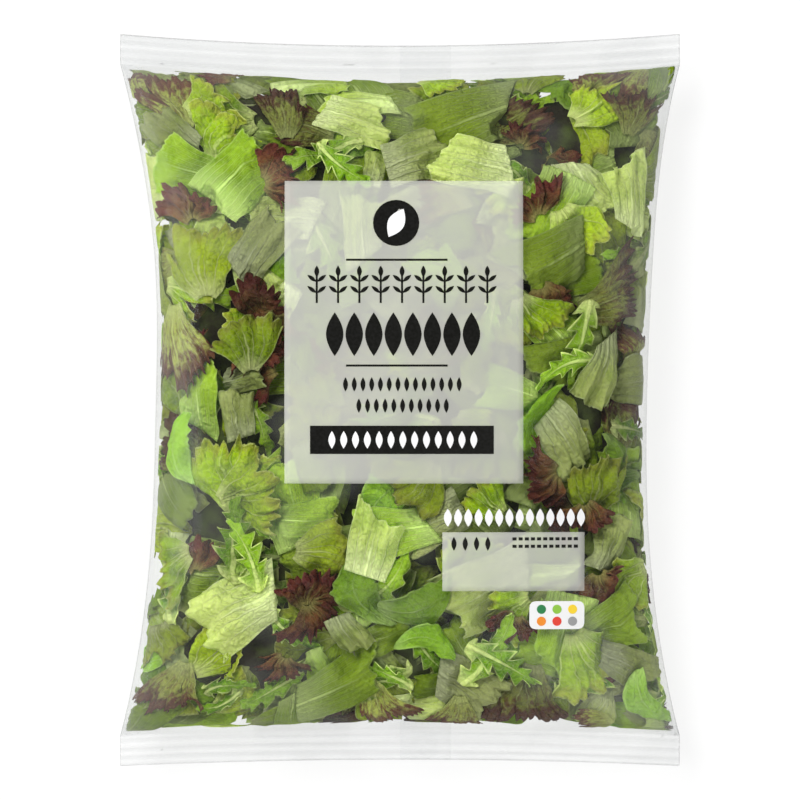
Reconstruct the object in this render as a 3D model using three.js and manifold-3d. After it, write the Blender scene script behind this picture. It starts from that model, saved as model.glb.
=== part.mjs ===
// A clear, heat-sealed pillow bag of mixed salad leaves, lying on its back.
// Millimetres, +Z up. The origin is on the table under the middle of the bag, +Y runs to the
// upper end seal, +X to the right edge of the printed front, and the front faces up.
// The film and the leaves packed behind it are one solid: a pillow core, with the leaves that
// press against the film and the fields of its print fused on in low relief.

import * as THREE from "three";
import { mergeVertices } from "three/addons/utils/BufferGeometryUtils.js";
import Module from "manifold-3d";

const wasm = await Module();
wasm.setup();

// Driving dimensions
const SEAL_WIDTH = 220; // flat width of the film tube, met at the end seals
const BAG_LENGTH = 288; // over both seals, at their corners
const SEAL_BAND = 12; // height of each crimped band
const MIDDLE_WIDTH = 193; // across the filled middle, where the sides pull in
const SIDE_FLARE = 2.6; // power of the sides' curve out to the seals
const LEAN = { most: 1.8, at: 0.45, spread: 0.42 }; // how the filled bag sits off its middle
const SEAL_LEVEL = 22; // height of the seals above the table
const TOP_RISE = 40; // rise of the front above the seals
const UNDER_DROP = 27; // fall of the back below them, before the table flattens it
const UPPER_BOW = 4.7; // how far filling draws the middle of the upper seal inwards
const LOWER_BOW = 2.6; // and of the lower seal
const SEAL_DROOP = 4; // how far the free edge of a seal hangs below its inner edge
const SEAL_WAVE = 1.6; // sideways wave of the seals
const FILM_HALF = 0.35; // half the thickness of the flattened film
const EDGE_CROWDING = 0.55; // share of the faces' spacing that crowds them at the edges
const CRIMP_FOLDS = 7; // ridges and hollows across a seal, one after the other
const CRIMP_DEPTH = 0.5; // rise of a ridge above the middle of the band
const LEAF_RELIEF = 2.2; // how far a pressed leaf stands out of the core
const LEAF_TILT = 1.6; // rise of a leaf's tip over its middle
const LEAF_WAVE = 0.5; // wave of a leaf's rim
const ROOT_DEPTH = 3; // how far a fused piece reaches into the core
const LEAF_SPREAD = 0.9; // share of the bag's width and length that leaves are centred in
const LEAF_LIMIT = 0.92; // share that none of them passes
const LEAF_SQUEEZE = 0.74; // share from which the falling film narrows them
const PLASTIC_NUMBER = 1.3247179572; // its powers spread places evenly over an area
const FIN_WIDTH = 20; // the back seam's flap, folded flat to +X
const FIN_RELIEF = 0.8; // its step above the back
const FIN_GROOVE = 1.2; // width of the hollow beside the flap where the table presses it in

// The fields of the print, as boxes on the front, and how far they stand out of the core
const PANEL_LIFT = 1.7;
const INK_LIFT = 2.3;
const FRONT_PANEL = { left: -45, right: 48, low: -32.5, high: 85.5, lift: PANEL_LIFT };
const DARK_BAR = { left: -35, right: 36.5, low: -21, high: -10, lift: INK_LIFT };
const DATE_PANEL = { left: 16.5, right: 72, low: -74.5, high: -51.5, lift: PANEL_LIFT };
const COLOUR_TAG = { left: 50.5, right: 72, low: -89.5, high: -78.5, lift: INK_LIFT };
const FIELD_CELL = 12; // grid size of a printed field

const COLUMNS = 24; // faces across the front, and as many across the back
const BODY_ROWS = 28;
const LEAVES_FRONT = 50;
const LEAVES_BACK = 36;
const HIDDEN_MARGIN = 4; // a leaf centred this far under a field, or over the table, is left out
const CLEAR_END = 6; // bare film between the leaves and a seal
const SLIVER = 0.04; // edges that lie this close to straight, or faces to flat, are merged
const SEED = 7;

const COLOURS = {
  core: 0x4f6a26,
  film: 0xe9ebea,
  panel: 0xb9c2ae,
  dark: 0x1c1c1a,
  tag: 0xf2f2f0,
  blade: 0x86a63c,
  pale: 0xb4bf6a,
  frisee: 0x6c962f,
  red: 0x6b4138,
};

// A repeatable random number from 0 to 1
function randomSource(seed) {
  let state = seed >>> 0;
  return () => {
    state = (Math.imul(state, 1664525) + 1013904223) >>> 0;
    return state / 4294967296;
  };
}

const halfBody = BAG_LENGTH / 2 - SEAL_BAND;

// Distance from the middle to a seal's inner edge, at a share u of the half width
function reach(u, v) {
  const bow = v >= 0 ? UPPER_BOW : LOWER_BOW;
  return halfBody - bow * (1 - u * u);
}

function halfWidth(v) {
  const narrow = MIDDLE_WIDTH / 2;
  return narrow + (SEAL_WIDTH / 2 - narrow) * Math.min(1, Math.abs(v)) ** SIDE_FLARE;
}

// The filled bag sits a little to the right, above its middle
function sideShift(v) {
  return LEAN.most * Math.exp(-(((v - LEAN.at) / LEAN.spread) ** 2)) * (1 - v * v);
}

// How full the bag is at (u, v): 1 in the middle, 0 at the edges and seals. Its section is a
// rounded one in the middle of the bag, and flattens to a slim lens at the ends.
function fullness(u, v) {
  const along = Math.min(1, Math.abs(v));
  const flat = along ** 4;
  const across = Math.max(0, 1 - Math.abs(u) ** (2.4 + 1.2 * flat));
  return across ** (0.5 + 0.3 * flat) * (1 - along ** 2.3) ** 0.72;
}

// Soft lumps where bunches of leaves push the film out
function lumps(x, y, side) {
  const turn = side > 0 ? 0 : 2.1;
  return (
    0.9 * Math.sin(x / 11 + y / 29 + turn) * Math.sin(y / 13 - x / 37 + 1.3 * turn) +
    0.7 * Math.sin(x / 21 - y / 17 + 0.8 + turn)
  );
}

// Level of the film's middle sheet, which carries the wave of the seals
function middleLevel(u, v) {
  return SEAL_LEVEL + SEAL_WAVE * Math.sin(2.6 * u + (v > 0 ? 0.6 : 2.4)) * Math.abs(v) ** 5;
}

// The front and back films meet at the edges
function filmStep(u, side) {
  return Math.abs(u) > 0.9999 ? 0 : side * FILM_HALF;
}

// Point of the core at (u, v) on the front (side 1) or the back (side -1), raised by lift
function corePoint(u, v, side, lift = 0) {
  const x = sideShift(v) + halfWidth(v) * u;
  const y = reach(u, v) * v;
  const full = fullness(u, v);
  const swell = full * ((side > 0 ? TOP_RISE : UNDER_DROP) + lumps(x, y, side));
  const z = middleLevel(u, v) + filmStep(u, side) + side * (swell + lift);
  const table = side < 0 ? Math.max(0, -lift) : 0;
  return new THREE.Vector3(x, y, Math.max(z, table));
}

// A share that runs past the squeeze closes in on the limit without reaching it
function squeeze(share) {
  const past = Math.abs(share) - LEAF_SQUEEZE;
  if (past <= 0) return share;
  const room = LEAF_LIMIT - LEAF_SQUEEZE;
  return Math.sign(share) * (LEAF_SQUEEZE + room * (1 - Math.exp(-past / room)));
}

// The shares (u, v) of a place (x, y) on the bag
function sharesAt(x, y) {
  let u = 0;
  let v = 0;
  for (let pass = 0; pass < 4; pass++) {
    u = squeeze((x - sideShift(v)) / halfWidth(v));
    v = squeeze(y / reach(u, v));
  }
  return { u, v };
}

// Point of the core over a place (x, y), or at the edge beside it
function onCore(x, y, side, lift) {
  const { u, v } = sharesAt(x, y);
  return corePoint(u, v, side, lift);
}

// A closed geometry as a solid
function solidOf(geometry) {
  const bare = geometry.clone();
  bare.deleteAttribute("normal");
  bare.deleteAttribute("uv");
  const merged = mergeVertices(bare, 1e-4);
  return new wasm.Manifold(
    new wasm.Mesh({
      numProp: 3,
      vertProperties: merged.attributes.position.array,
      triVerts: new Uint32Array(merged.index.array),
    }),
  );
}

function solidFrom(points, triangles) {
  const position = points.flatMap((p) => [p.x, p.y, p.z]);
  const geometry = new THREE.BufferGeometry();
  geometry.setAttribute("position", new THREE.Float32BufferAttribute(position, 3));
  geometry.setIndex(triangles);
  return solidOf(geometry);
}

// Even places from -1 to 1, moved towards the two ends
function crowded(even) {
  return THREE.MathUtils.lerp(even, Math.sin((even * Math.PI) / 2), EDGE_CROWDING);
}

// Closed loop of the bag's section: along the front from right to left, back along the underside
function sectionLoop() {
  const loop = [];
  for (let i = 0; i < 2 * COLUMNS; i++) {
    const front = i <= COLUMNS;
    const step = front ? i / COLUMNS : 2 - i / COLUMNS;
    const even = 1 - 2 * step;
    loop.push({ u: crowded(even), side: front ? 1 : -1 });
  }
  return loop;
}

// One fold of a crimped seal: a ridge, a hollow, or the free edge after the last of them
function sealRow(loop, end, fold) {
  const free = fold === CRIMP_FOLDS;
  const share = free ? 1 : (fold + 0.5) / CRIMP_FOLDS;
  const rise = free ? 0 : CRIMP_DEPTH * (fold % 2 ? -1 : 1);
  const level = rise - SEAL_DROOP * share ** 1.5;
  return loop.map(({ u, side }) => {
    const x = (SEAL_WIDTH / 2) * u;
    const y = end * (reach(u, end) + SEAL_BAND * share);
    return new THREE.Vector3(x, y, middleLevel(u, end) + level + filmStep(u, side));
  });
}

// The pillow: rows of points from the lower seal's free edge to the upper one's
function buildCore() {
  const loop = sectionLoop();
  const rows = [];
  for (let fold = CRIMP_FOLDS; fold >= 0; fold--) rows.push(sealRow(loop, -1, fold));
  for (let j = 0; j <= BODY_ROWS; j++) {
    const v = crowded((2 * j) / BODY_ROWS - 1);
    rows.push(loop.map(({ u, side }) => corePoint(u, v, side)));
  }
  for (let fold = 0; fold <= CRIMP_FOLDS; fold++) rows.push(sealRow(loop, 1, fold));

  const around = loop.length;
  const points = rows.flat();
  const triangles = [];
  for (let j = 0; j + 1 < rows.length; j++) {
    for (let i = 0; i < around; i++) {
      const a = j * around + i;
      const b = j * around + ((i + 1) % around);
      triangles.push(a, a + around, b, b, a + around, b + around);
    }
  }
  // Each free edge is closed by a strip between its front and back points
  for (const [row, flip] of [[0, false], [rows.length - 1, true]]) {
    const at = (i) => row * around + (i % around);
    for (let i = 0; i < COLUMNS; i++) {
      const strip = [at(i), at(i + 1), at(around - i - 1), at(around - i)];
      const faces = [
        [strip[0], strip[1], strip[3]],
        [strip[1], strip[2], strip[3]],
      ];
      for (const face of faces) {
        if (new Set(face).size < 3) continue;
        triangles.push(...(flip ? face.reverse() : face));
      }
    }
  }
  return solidFrom(points, triangles);
}

// A sheet that follows the film, such as a printed field, standing out of the core by its lift
function buildField({ left, right, low, high, lift }, side = 1) {
  const columns = Math.max(2, Math.round((right - left) / FIELD_CELL));
  const rows = Math.max(1, Math.round((high - low) / FIELD_CELL));
  const place = (i, j, rise) => {
    const x = THREE.MathUtils.lerp(left, right, i / columns);
    const y = THREE.MathUtils.lerp(low, high, j / rows);
    return onCore(x, y, side, rise);
  };
  const across = columns + 1;
  const count = across * (rows + 1);
  const points = [];
  for (const rise of [lift, -ROOT_DEPTH]) {
    for (let j = 0; j <= rows; j++) {
      for (let i = 0; i <= columns; i++) points.push(place(i, j, rise));
    }
  }
  const triangles = [];
  const quad = (a, b, c, d) => {
    triangles.push(...(side > 0 ? [a, b, c, a, c, d] : [a, c, b, a, d, c]));
  };
  for (let j = 0; j < rows; j++) {
    for (let i = 0; i < columns; i++) {
      const a = j * across + i;
      quad(a, a + 1, a + across + 1, a + across);
      quad(count + a, count + a + across, count + a + across + 1, count + a + 1);
    }
  }
  for (let i = 0; i < columns; i++) {
    quad(i + 1, i, count + i, count + i + 1);
    const a = rows * across + i;
    quad(a, a + 1, count + a + 1, count + a);
  }
  for (let j = 0; j < rows; j++) {
    const a = j * across;
    quad(a, a + across, count + a + across, count + a);
    const b = a + columns;
    quad(b + across, b, count + b, count + b + across);
  }
  return solidFrom(points, triangles);
}

// Outlines of the kinds of cut leaf, as a radius at an angle from the leaf's long axis
const LEAF_KINDS = {
  blade: {
    sides: 14,
    length: 25,
    width: 18,
    radius: (angle, phase) => {
      const wavy = 1 + 0.1 * Math.sin(3 * angle + phase) + 0.08 * Math.sin(6 * angle + 2 * phase);
      const cut = -Math.cos(angle);
      return cut > 0.55 ? Math.min(wavy, 0.62 / cut) : wavy;
    },
  },
  red: {
    sides: 18,
    length: 19,
    width: 17,
    radius: (angle, phase) => {
      const fan = 0.6 + 0.45 * Math.cos(angle / 2) ** 2;
      return fan * (1 + 0.13 * Math.cos(9 * angle + phase) * Math.max(0, Math.cos(angle)));
    },
  },
  frisee: {
    sides: 18,
    length: 26,
    width: 8,
    radius: (angle) => 0.8 + 0.28 * Math.cos(9 * angle),
  },
};

// A pressed leaf: a thin wavy sheet whose two faces are split into triangles alike
function buildLeaf(kind, side, centre, turn, tilt, phase, size) {
  const { sides, length, width, radius } = LEAF_KINDS[kind];
  const rings = [0.55, 1];
  const place = (share, angle, rise) => {
    const along = share * radius(angle, phase) * length * size * Math.cos(angle);
    const over = share * radius(angle, phase) * width * size * Math.sin(angle);
    const x = centre.x + along * Math.cos(turn) - over * Math.sin(turn);
    const y = centre.y + along * Math.sin(turn) + over * Math.cos(turn);
    const wave = LEAF_WAVE * Math.sin(3 * angle + phase) * share;
    const lift = rise + (tilt * along) / length + wave;
    return onCore(x, y, side, Math.min(lift, LEAF_RELIEF));
  };
  const points = [];
  for (const rise of [0.6 * LEAF_RELIEF, -ROOT_DEPTH]) {
    points.push(place(0, 0, rise));
    for (const ring of rings) {
      for (let k = 0; k < sides; k++) points.push(place(ring, (2 * Math.PI * k) / sides, rise));
    }
  }
  const face = 1 + rings.length * sides;
  const triangles = [];
  const outwards = (a, b, c) => triangles.push(...(side > 0 ? [a, b, c] : [a, c, b]));
  for (let k = 0; k < sides; k++) {
    const next = (k + 1) % sides;
    const [a, b, c, d] = [1 + k, 1 + next, 1 + sides + k, 1 + sides + next];
    for (const [base, top] of [[0, true], [face, false]]) {
      const add = (p, q, r) => {
        if (top) outwards(base + p, base + q, base + r);
        else outwards(base + p, base + r, base + q);
      };
      add(0, a, b);
      add(a, c, b);
      add(b, c, d);
    }
    outwards(c, face + c, d);
    outwards(d, face + c, face + d);
  }
  return solidFrom(points, triangles);
}

// Leaves spread evenly over one side
function leafPlaces(side, count) {
  const places = [];
  for (let n = 1; n <= count; n++) {
    const u = LEAF_SPREAD * (2 * ((n / PLASTIC_NUMBER) % 1) - 1);
    const v = LEAF_SPREAD * (2 * ((n / PLASTIC_NUMBER ** 2) % 1) - 1);
    const { x, y, z } = corePoint(u, v, side);
    places.push({ side, x, y, height: z });
  }
  return places;
}

// True where a printed field hides the leaf, or the table flattens the back
function isHidden({ side, x, y, height }) {
  if (side < 0) return height < HIDDEN_MARGIN;
  const inside = (at, low, high) => at > low + HIDDEN_MARGIN && at < high - HIDDEN_MARGIN;
  return [FRONT_PANEL, DATE_PANEL].some(
    ({ left, right, low, high }) => inside(x, left, right) && inside(y, low, high),
  );
}

function buildLeaves() {
  const random = randomSource(SEED);
  const places = [...leafPlaces(1, LEAVES_FRONT), ...leafPlaces(-1, LEAVES_BACK)];
  const order = ["blade", "frisee", "blade", "red", "blade", "pale", "frisee"];
  return places
    .filter((place) => !isHidden(place))
    .map((place, n) => {
      const colour = order[n % order.length];
      const kind = colour === "pale" ? "blade" : colour;
      const turn = 2 * Math.PI * random();
      const tilt = LEAF_TILT * (0.4 + 0.6 * random());
      const size = 0.8 + 0.4 * random();
      return { colour, solid: buildLeaf(kind, place.side, place, turn, tilt, 6 * random(), size) };
    });
}

// The back seam: a flap that stands out of the back, with a hollow on each side where the
// table presses it in level
function buildBackSeam() {
  const high = LEAF_LIMIT * halfBody;
  return buildField({ left: 0, right: FIN_WIDTH, low: -high, high, lift: FIN_RELIEF }, -1);
}

function cutSeamHollows(solid) {
  return [-FIN_GROOVE / 2, FIN_WIDTH + FIN_GROOVE / 2].reduce((left, x) => {
    const hollow = new THREE.BoxGeometry(FIN_GROOVE, BAG_LENGTH, 2 * FIN_RELIEF);
    hollow.translate(x, 0, 0);
    return left.subtract(solidOf(hollow));
  }, solid);
}

// The fused solid as a mesh whose faces keep the colour of the piece that they came from
function paintedGeometry(solid, colourOf) {
  const mesh = solid.getMesh();
  const count = mesh.triVerts.length;
  const position = new Float32Array(count * 3);
  const colour = new Float32Array(count * 3);
  const runs = mesh.runOriginalID.length;
  for (let run = 0; run < runs; run++) {
    const name = colourOf.get(mesh.runOriginalID[run]) ?? "core";
    for (let i = mesh.runIndex[run]; i < mesh.runIndex[run + 1]; i++) {
      const at = mesh.triVerts[i] * mesh.numProp;
      const point = mesh.vertProperties.subarray(at, at + 3);
      position.set(point, i * 3);
      const sealed = name === "core" && Math.abs(point[1]) > halfBody - CLEAR_END;
      new THREE.Color(COLOURS[sealed ? "film" : name]).toArray(colour, i * 3);
    }
  }
  const geometry = new THREE.BufferGeometry();
  geometry.setAttribute("position", new THREE.BufferAttribute(position, 3));
  geometry.setAttribute("color", new THREE.BufferAttribute(colour, 3));
  geometry.computeVertexNormals();
  return geometry;
}

function buildBag() {
  const pieces = [
    { colour: "core", solid: buildCore() },
    { colour: "panel", solid: buildField(FRONT_PANEL) },
    { colour: "dark", solid: buildField(DARK_BAR) },
    { colour: "panel", solid: buildField(DATE_PANEL) },
    { colour: "tag", solid: buildField(COLOUR_TAG) },
    { colour: "film", solid: buildBackSeam() },
    ...buildLeaves(),
  ];
  const colourOf = new Map(pieces.map(({ colour, solid }) => [solid.originalID(), colour]));
  const joined = wasm.Manifold.union(pieces.map(({ solid }) => solid));
  const fused = cutSeamHollows(joined).simplify(SLIVER);
  const largest = fused.decompose().sort((a, b) => b.volume() - a.volume())[0];
  const material = new THREE.MeshStandardMaterial({
    vertexColors: true,
    flatShading: true,
    roughness: 0.35,
    metalness: 0,
  });
  const bag = new THREE.Mesh(paintedGeometry(largest, colourOf), material);
  bag.name = "bag";
  return bag;
}

const saladBag = new THREE.Group();
saladBag.name = "salad_bag";
saladBag.add(buildBag());

export default saladBag;
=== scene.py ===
"""Looks of a clear, heat-sealed pillow bag of mixed salad leaves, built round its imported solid."""

import functools
import math
import random

import bmesh
import bpy
import numpy as np
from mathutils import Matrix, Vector, noise


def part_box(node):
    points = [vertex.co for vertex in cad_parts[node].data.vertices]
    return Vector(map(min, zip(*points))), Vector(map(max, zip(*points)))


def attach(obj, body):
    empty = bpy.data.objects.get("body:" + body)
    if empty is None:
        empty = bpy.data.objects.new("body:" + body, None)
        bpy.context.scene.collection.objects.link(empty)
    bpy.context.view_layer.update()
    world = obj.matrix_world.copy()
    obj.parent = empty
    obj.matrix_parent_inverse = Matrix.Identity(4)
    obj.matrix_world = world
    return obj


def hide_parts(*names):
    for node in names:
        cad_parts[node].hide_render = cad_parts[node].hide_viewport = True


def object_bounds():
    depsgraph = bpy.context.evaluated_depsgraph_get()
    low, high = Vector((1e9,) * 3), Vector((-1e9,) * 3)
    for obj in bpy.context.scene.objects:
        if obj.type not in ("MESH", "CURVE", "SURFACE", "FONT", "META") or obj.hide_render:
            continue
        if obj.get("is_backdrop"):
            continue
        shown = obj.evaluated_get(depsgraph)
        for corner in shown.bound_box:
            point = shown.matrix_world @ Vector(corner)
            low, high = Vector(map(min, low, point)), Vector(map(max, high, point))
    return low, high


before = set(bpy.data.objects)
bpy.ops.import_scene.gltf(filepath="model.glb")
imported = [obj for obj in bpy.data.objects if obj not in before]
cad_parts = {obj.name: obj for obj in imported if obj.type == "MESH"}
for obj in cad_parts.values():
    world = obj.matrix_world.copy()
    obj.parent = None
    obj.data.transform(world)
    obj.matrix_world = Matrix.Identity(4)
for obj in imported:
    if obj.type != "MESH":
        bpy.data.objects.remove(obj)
CAD_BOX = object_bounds()
LOW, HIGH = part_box("bag")

bl_info = {
    "name": "Salad Bag Looks",
    "version": (1, 0, 0),
    "blender": (4, 5, 0),
    "location": "View3D > Sidebar > Salad Bag",
    "description": "Film, print and leaves of a clear bag of salad, with its stage",
    "category": "Add Mesh",
}

MM = 0.001
BODY = "root"

# Form of the filled bag, as its solid has it: x across it and y along it, as shares u and v
SEAL_WIDTH = HIGH.x - LOW.x
BAG_LENGTH = HIGH.y - LOW.y
SEAL_BAND = 12 * MM
MIDDLE_WIDTH = 193 * MM
SIDE_FLARE = 2.6
LEAN = {"most": 1.8 * MM, "at": 0.45, "spread": 0.42}
SEAL_LEVEL = 22 * MM
TOP_RISE = 40 * MM
UNDER_DROP = 27 * MM
UPPER_BOW = 4.7 * MM
LOWER_BOW = 2.6 * MM
SEAL_DROOP = 4 * MM
SEAL_WAVE = 1.6 * MM
HALF_BODY = BAG_LENGTH / 2 - SEAL_BAND
FIN_WIDTH = 20 * MM

# The film and what lies behind it
FILM_EASE = 1.2 * MM  # how far the leaves push the film out of the solid's core
FILM_GAP = 0.1 * MM  # half the space between the two films of a seal
REST_GAP = 0.7 * MM  # height of the film's flat back over the floor, which the seam fills
SEAM_THICKNESS = 0.2 * MM
FILM_COLUMNS, FILM_ROWS, SEAM_COLUMNS = 110, 300, 6
AT_EDGE = 0.9999  # share from which a place on the film counts as its edge
CRIMP_PITCH = 3.6 * MM
CRIMP_RISE = 0.3 * MM
LEAF_CLEARANCE = 1.1 * MM  # least depth of a leaf behind the film
LEAF_THICKNESS = 0.3 * MM
LEAF_GAP = 0.65 * MM  # from the middle of one leaf to that of the next below it
HEART = {"width": 0.86, "length": 0.97, "rise": 0.6}  # where it lies, in shares of the film's
DEEPEST_SHARE = 0.62  # of the way from the film to the heart of the bag
CORE_DEPTH = 21 * MM
CORE_LENGTH = 0.9  # share of the bag's inner length
CORE_BUMP = 2.5 * MM
INK_LIFT = 0.08 * MM  # height of the print over the film
INK_THICKNESS = 0.06 * MM
SEED = 11


def reach(u, v):
    """Distance from the middle to a seal's inner edge, at a share u of the half width."""
    bow = np.where(v >= 0, UPPER_BOW, LOWER_BOW)
    return HALF_BODY - bow * (1 - u * u)


def half_width(v):
    """Half the bag's width, which is least in its filled middle."""
    narrow = MIDDLE_WIDTH / 2
    return narrow + (SEAL_WIDTH / 2 - narrow) * np.minimum(1, np.abs(v)) ** SIDE_FLARE


def side_shift(v):
    """How far the bag leans to its right, in its upper half."""
    return LEAN["most"] * np.exp(-(((v - LEAN["at"]) / LEAN["spread"]) ** 2)) * (1 - v * v)


def fullness(u, v):
    """How full the bag is at (u, v): 1 in the middle, 0 at the edges and seals."""
    along = np.minimum(1, np.abs(v))
    flat = along**4
    across = np.maximum(0, 1 - np.minimum(1, np.abs(u)) ** (2.4 + 1.2 * flat))
    return across ** (0.5 + 0.3 * flat) * (1 - along**2.3) ** 0.72


def lumps(x, y, side):
    """Soft lumps where bunches of leaves push the film out."""
    turn = np.where(side > 0, 0, 2.1)
    x, y = x / MM, y / MM
    broad = 0.9 * np.sin(x / 11 + y / 29 + turn) * np.sin(y / 13 - x / 37 + 1.3 * turn)
    return (broad + 0.7 * np.sin(x / 21 - y / 17 + 0.8 + turn)) * MM


def middle_level(u, v):
    """Level of the sheet halfway between the films, which carries the wave of the seals."""
    wave = np.sin(2.6 * u + np.where(v > 0, 0.6, 2.4))
    return SEAL_LEVEL + SEAL_WAVE * wave * np.abs(v) ** 5


def film_at(u, v, side):
    """Places on the film at shares (u, v), on the front where side is 1 and the back where it is -1."""
    u, v, side = np.broadcast_arrays(u, v, side)
    x = side_shift(v) + half_width(v) * u
    y = reach(u, v) * v
    rise = np.where(side > 0, TOP_RISE, UNDER_DROP) + lumps(x, y, side) + FILM_EASE
    z = middle_level(u, v) + side * fullness(u, v) * rise
    return np.stack([x, y, np.maximum(z, REST_GAP)], axis=-1)


def run_lengths(line):
    """Length along a line of points, from its start to each of them."""
    steps = np.linalg.norm(np.diff(line, axis=0), axis=1)
    return np.concatenate([[0.0], np.cumsum(steps)])


# Shares at even steps across the film, closer together at its sides, and in rows from seal to seal
EVEN = np.linspace(-1, 1, 161)
ARCHED = np.sin(EVEN * math.pi / 2)
ROWS = np.linspace(-1, 1, 81)


def girth_table(side):
    """Shares u at even lengths across one film, for rows of v from seal to seal."""
    table = []
    for v in ROWS:
        length = run_lengths(film_at(ARCHED, v, side))
        table.append(np.interp(EVEN, 2 * length / length[-1] - 1, ARCHED))
    return np.array(table)


GIRTH = {side: girth_table(side) for side in (1, -1)}
RIDGE = run_lengths(film_at(0.0, ROWS, 1))
RIDGE = RIDGE - np.interp(0, ROWS, RIDGE)
HALF_GIRTH = SEAL_WIDTH / 2


def shares_at(w, r):
    """Shares and side of places w round the film and r along it, from the middle of the front."""
    round_film = np.mod(w + HALF_GIRTH, 4 * HALF_GIRTH) - HALF_GIRTH
    side = np.where(round_film <= HALF_GIRTH, 1, -1)
    across = np.where(side > 0, round_film, 2 * HALF_GIRTH - round_film) / HALF_GIRTH
    v = np.interp(r, RIDGE, ROWS)
    row = (v + 1) / 2 * (len(ROWS) - 1)
    column = (np.clip(across, -1, 1) + 1) / 2 * (len(EVEN) - 1)
    i = np.minimum(row.astype(int), len(ROWS) - 2)
    j = np.minimum(column.astype(int), len(EVEN) - 2)
    a, b = row - i, column - j
    u = np.zeros_like(a)
    for face in (1, -1):
        t = GIRTH[face]
        here = (1 - a) * ((1 - b) * t[i, j] + b * t[i, j + 1])
        here = here + a * ((1 - b) * t[i + 1, j] + b * t[i + 1, j + 1])
        u = np.where(side == face, here, u)
    return u, v, side


def behind_film(w, r, depth):
    """Places at a depth behind the film, towards the heart of the bag, and the room there is."""
    u, v, side = shares_at(w, r)
    skin = film_at(u, v, side)
    full = fullness(u, v)
    level = SEAL_LEVEL + (TOP_RISE - UNDER_DROP) * HEART["rise"] * full
    heart = np.stack([skin[:, 0] * HEART["width"], skin[:, 1] * HEART["length"], level], axis=-1)
    inwards = heart - skin
    room = np.maximum(np.linalg.norm(inwards, axis=1), 1e-6)
    share = np.minimum(depth / room, DEEPEST_SHARE)
    return skin + inwards * share[:, None], room


def front_shares(x, y):
    """Shares of the place on the front film that lies over (x, y)."""
    u, v = x / (MIDDLE_WIDTH / 2), y / HALF_BODY
    for _ in range(6):
        u = np.clip((x - side_shift(v)) / half_width(v), -1, 1)
        v = np.clip(y / reach(u, v), -1, 1)
    return u, v


def lengths_at(x, y):
    """Lengths w round the film and r along it of the place on the front over (x, y)."""
    u, v = front_shares(x, y)
    length = run_lengths(film_at(ARCHED, v, 1))
    share = 2 * np.interp(u, ARCHED, length) / length[-1] - 1
    return HALF_GIRTH * float(share), float(np.interp(v, ROWS, RIDGE))


# Helpers for meshes


def finished(name, bm, material, smooth=True):
    """A piece of the bag from a bmesh, riding on its one body."""
    mesh = bpy.data.meshes.new(name)
    bm.to_mesh(mesh)
    bm.free()
    piece = bpy.data.objects.new(name, mesh)
    bpy.context.scene.collection.objects.link(piece)
    mesh.materials.append(material)
    for face in mesh.polygons:
        face.use_smooth = smooth
    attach(piece, BODY)
    return piece


def thicken(piece, thickness):
    """Gives a sheet its thickness, half of it to each side."""
    wall = piece.modifiers.new("thickness", "SOLIDIFY")
    wall.thickness = thickness
    wall.offset = 0.0
    wall.use_even_offset = False
    return piece


def move_verts(verts, places):
    """Moves each vertex to its place."""
    for vert, place in zip(verts, places):
        vert.co = place


def grid_shares(verts):
    """The two shares, from -1 to 1, of the vertices of a new grid."""
    flat = np.array([vert.co[:2] for vert in verts])
    return flat[:, 0], flat[:, 1]


# Materials

TWIGS = 34.0 / math.pi  # side veins from a leaf's base to its tip
FLECK_SPREAD = (17.0, 8.0)  # flecks across a leaf and along it
# A leaf's value spans this range by its random tone, which deeper rounds cap lower as painted shade
LEAF_VALUES = (0.7, 1.4)  # brightness of the darkest leaf and the lightest
LEAF_SATURATION = 1.1
LEAF_RELIEF = 0.9 * MM
# Near-black brown and green of the core: painted shade of the leaves deep in the bag
CORE_SHADE_BROWN = (0.013, 0.01, 0.004)
CORE_SHADE_GREEN = (0.05, 0.07, 0.012)
CORE_RELIEF = 2.0 * MM
FILM_CLEAR = (0.99, 0.992, 0.992)
FILM_MILK = (0.68, 0.69, 0.69)
FILM_REFLECTANCE = 0.035  # of film seen straight on
FILM_RELIEF = 1.0 * MM


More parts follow.
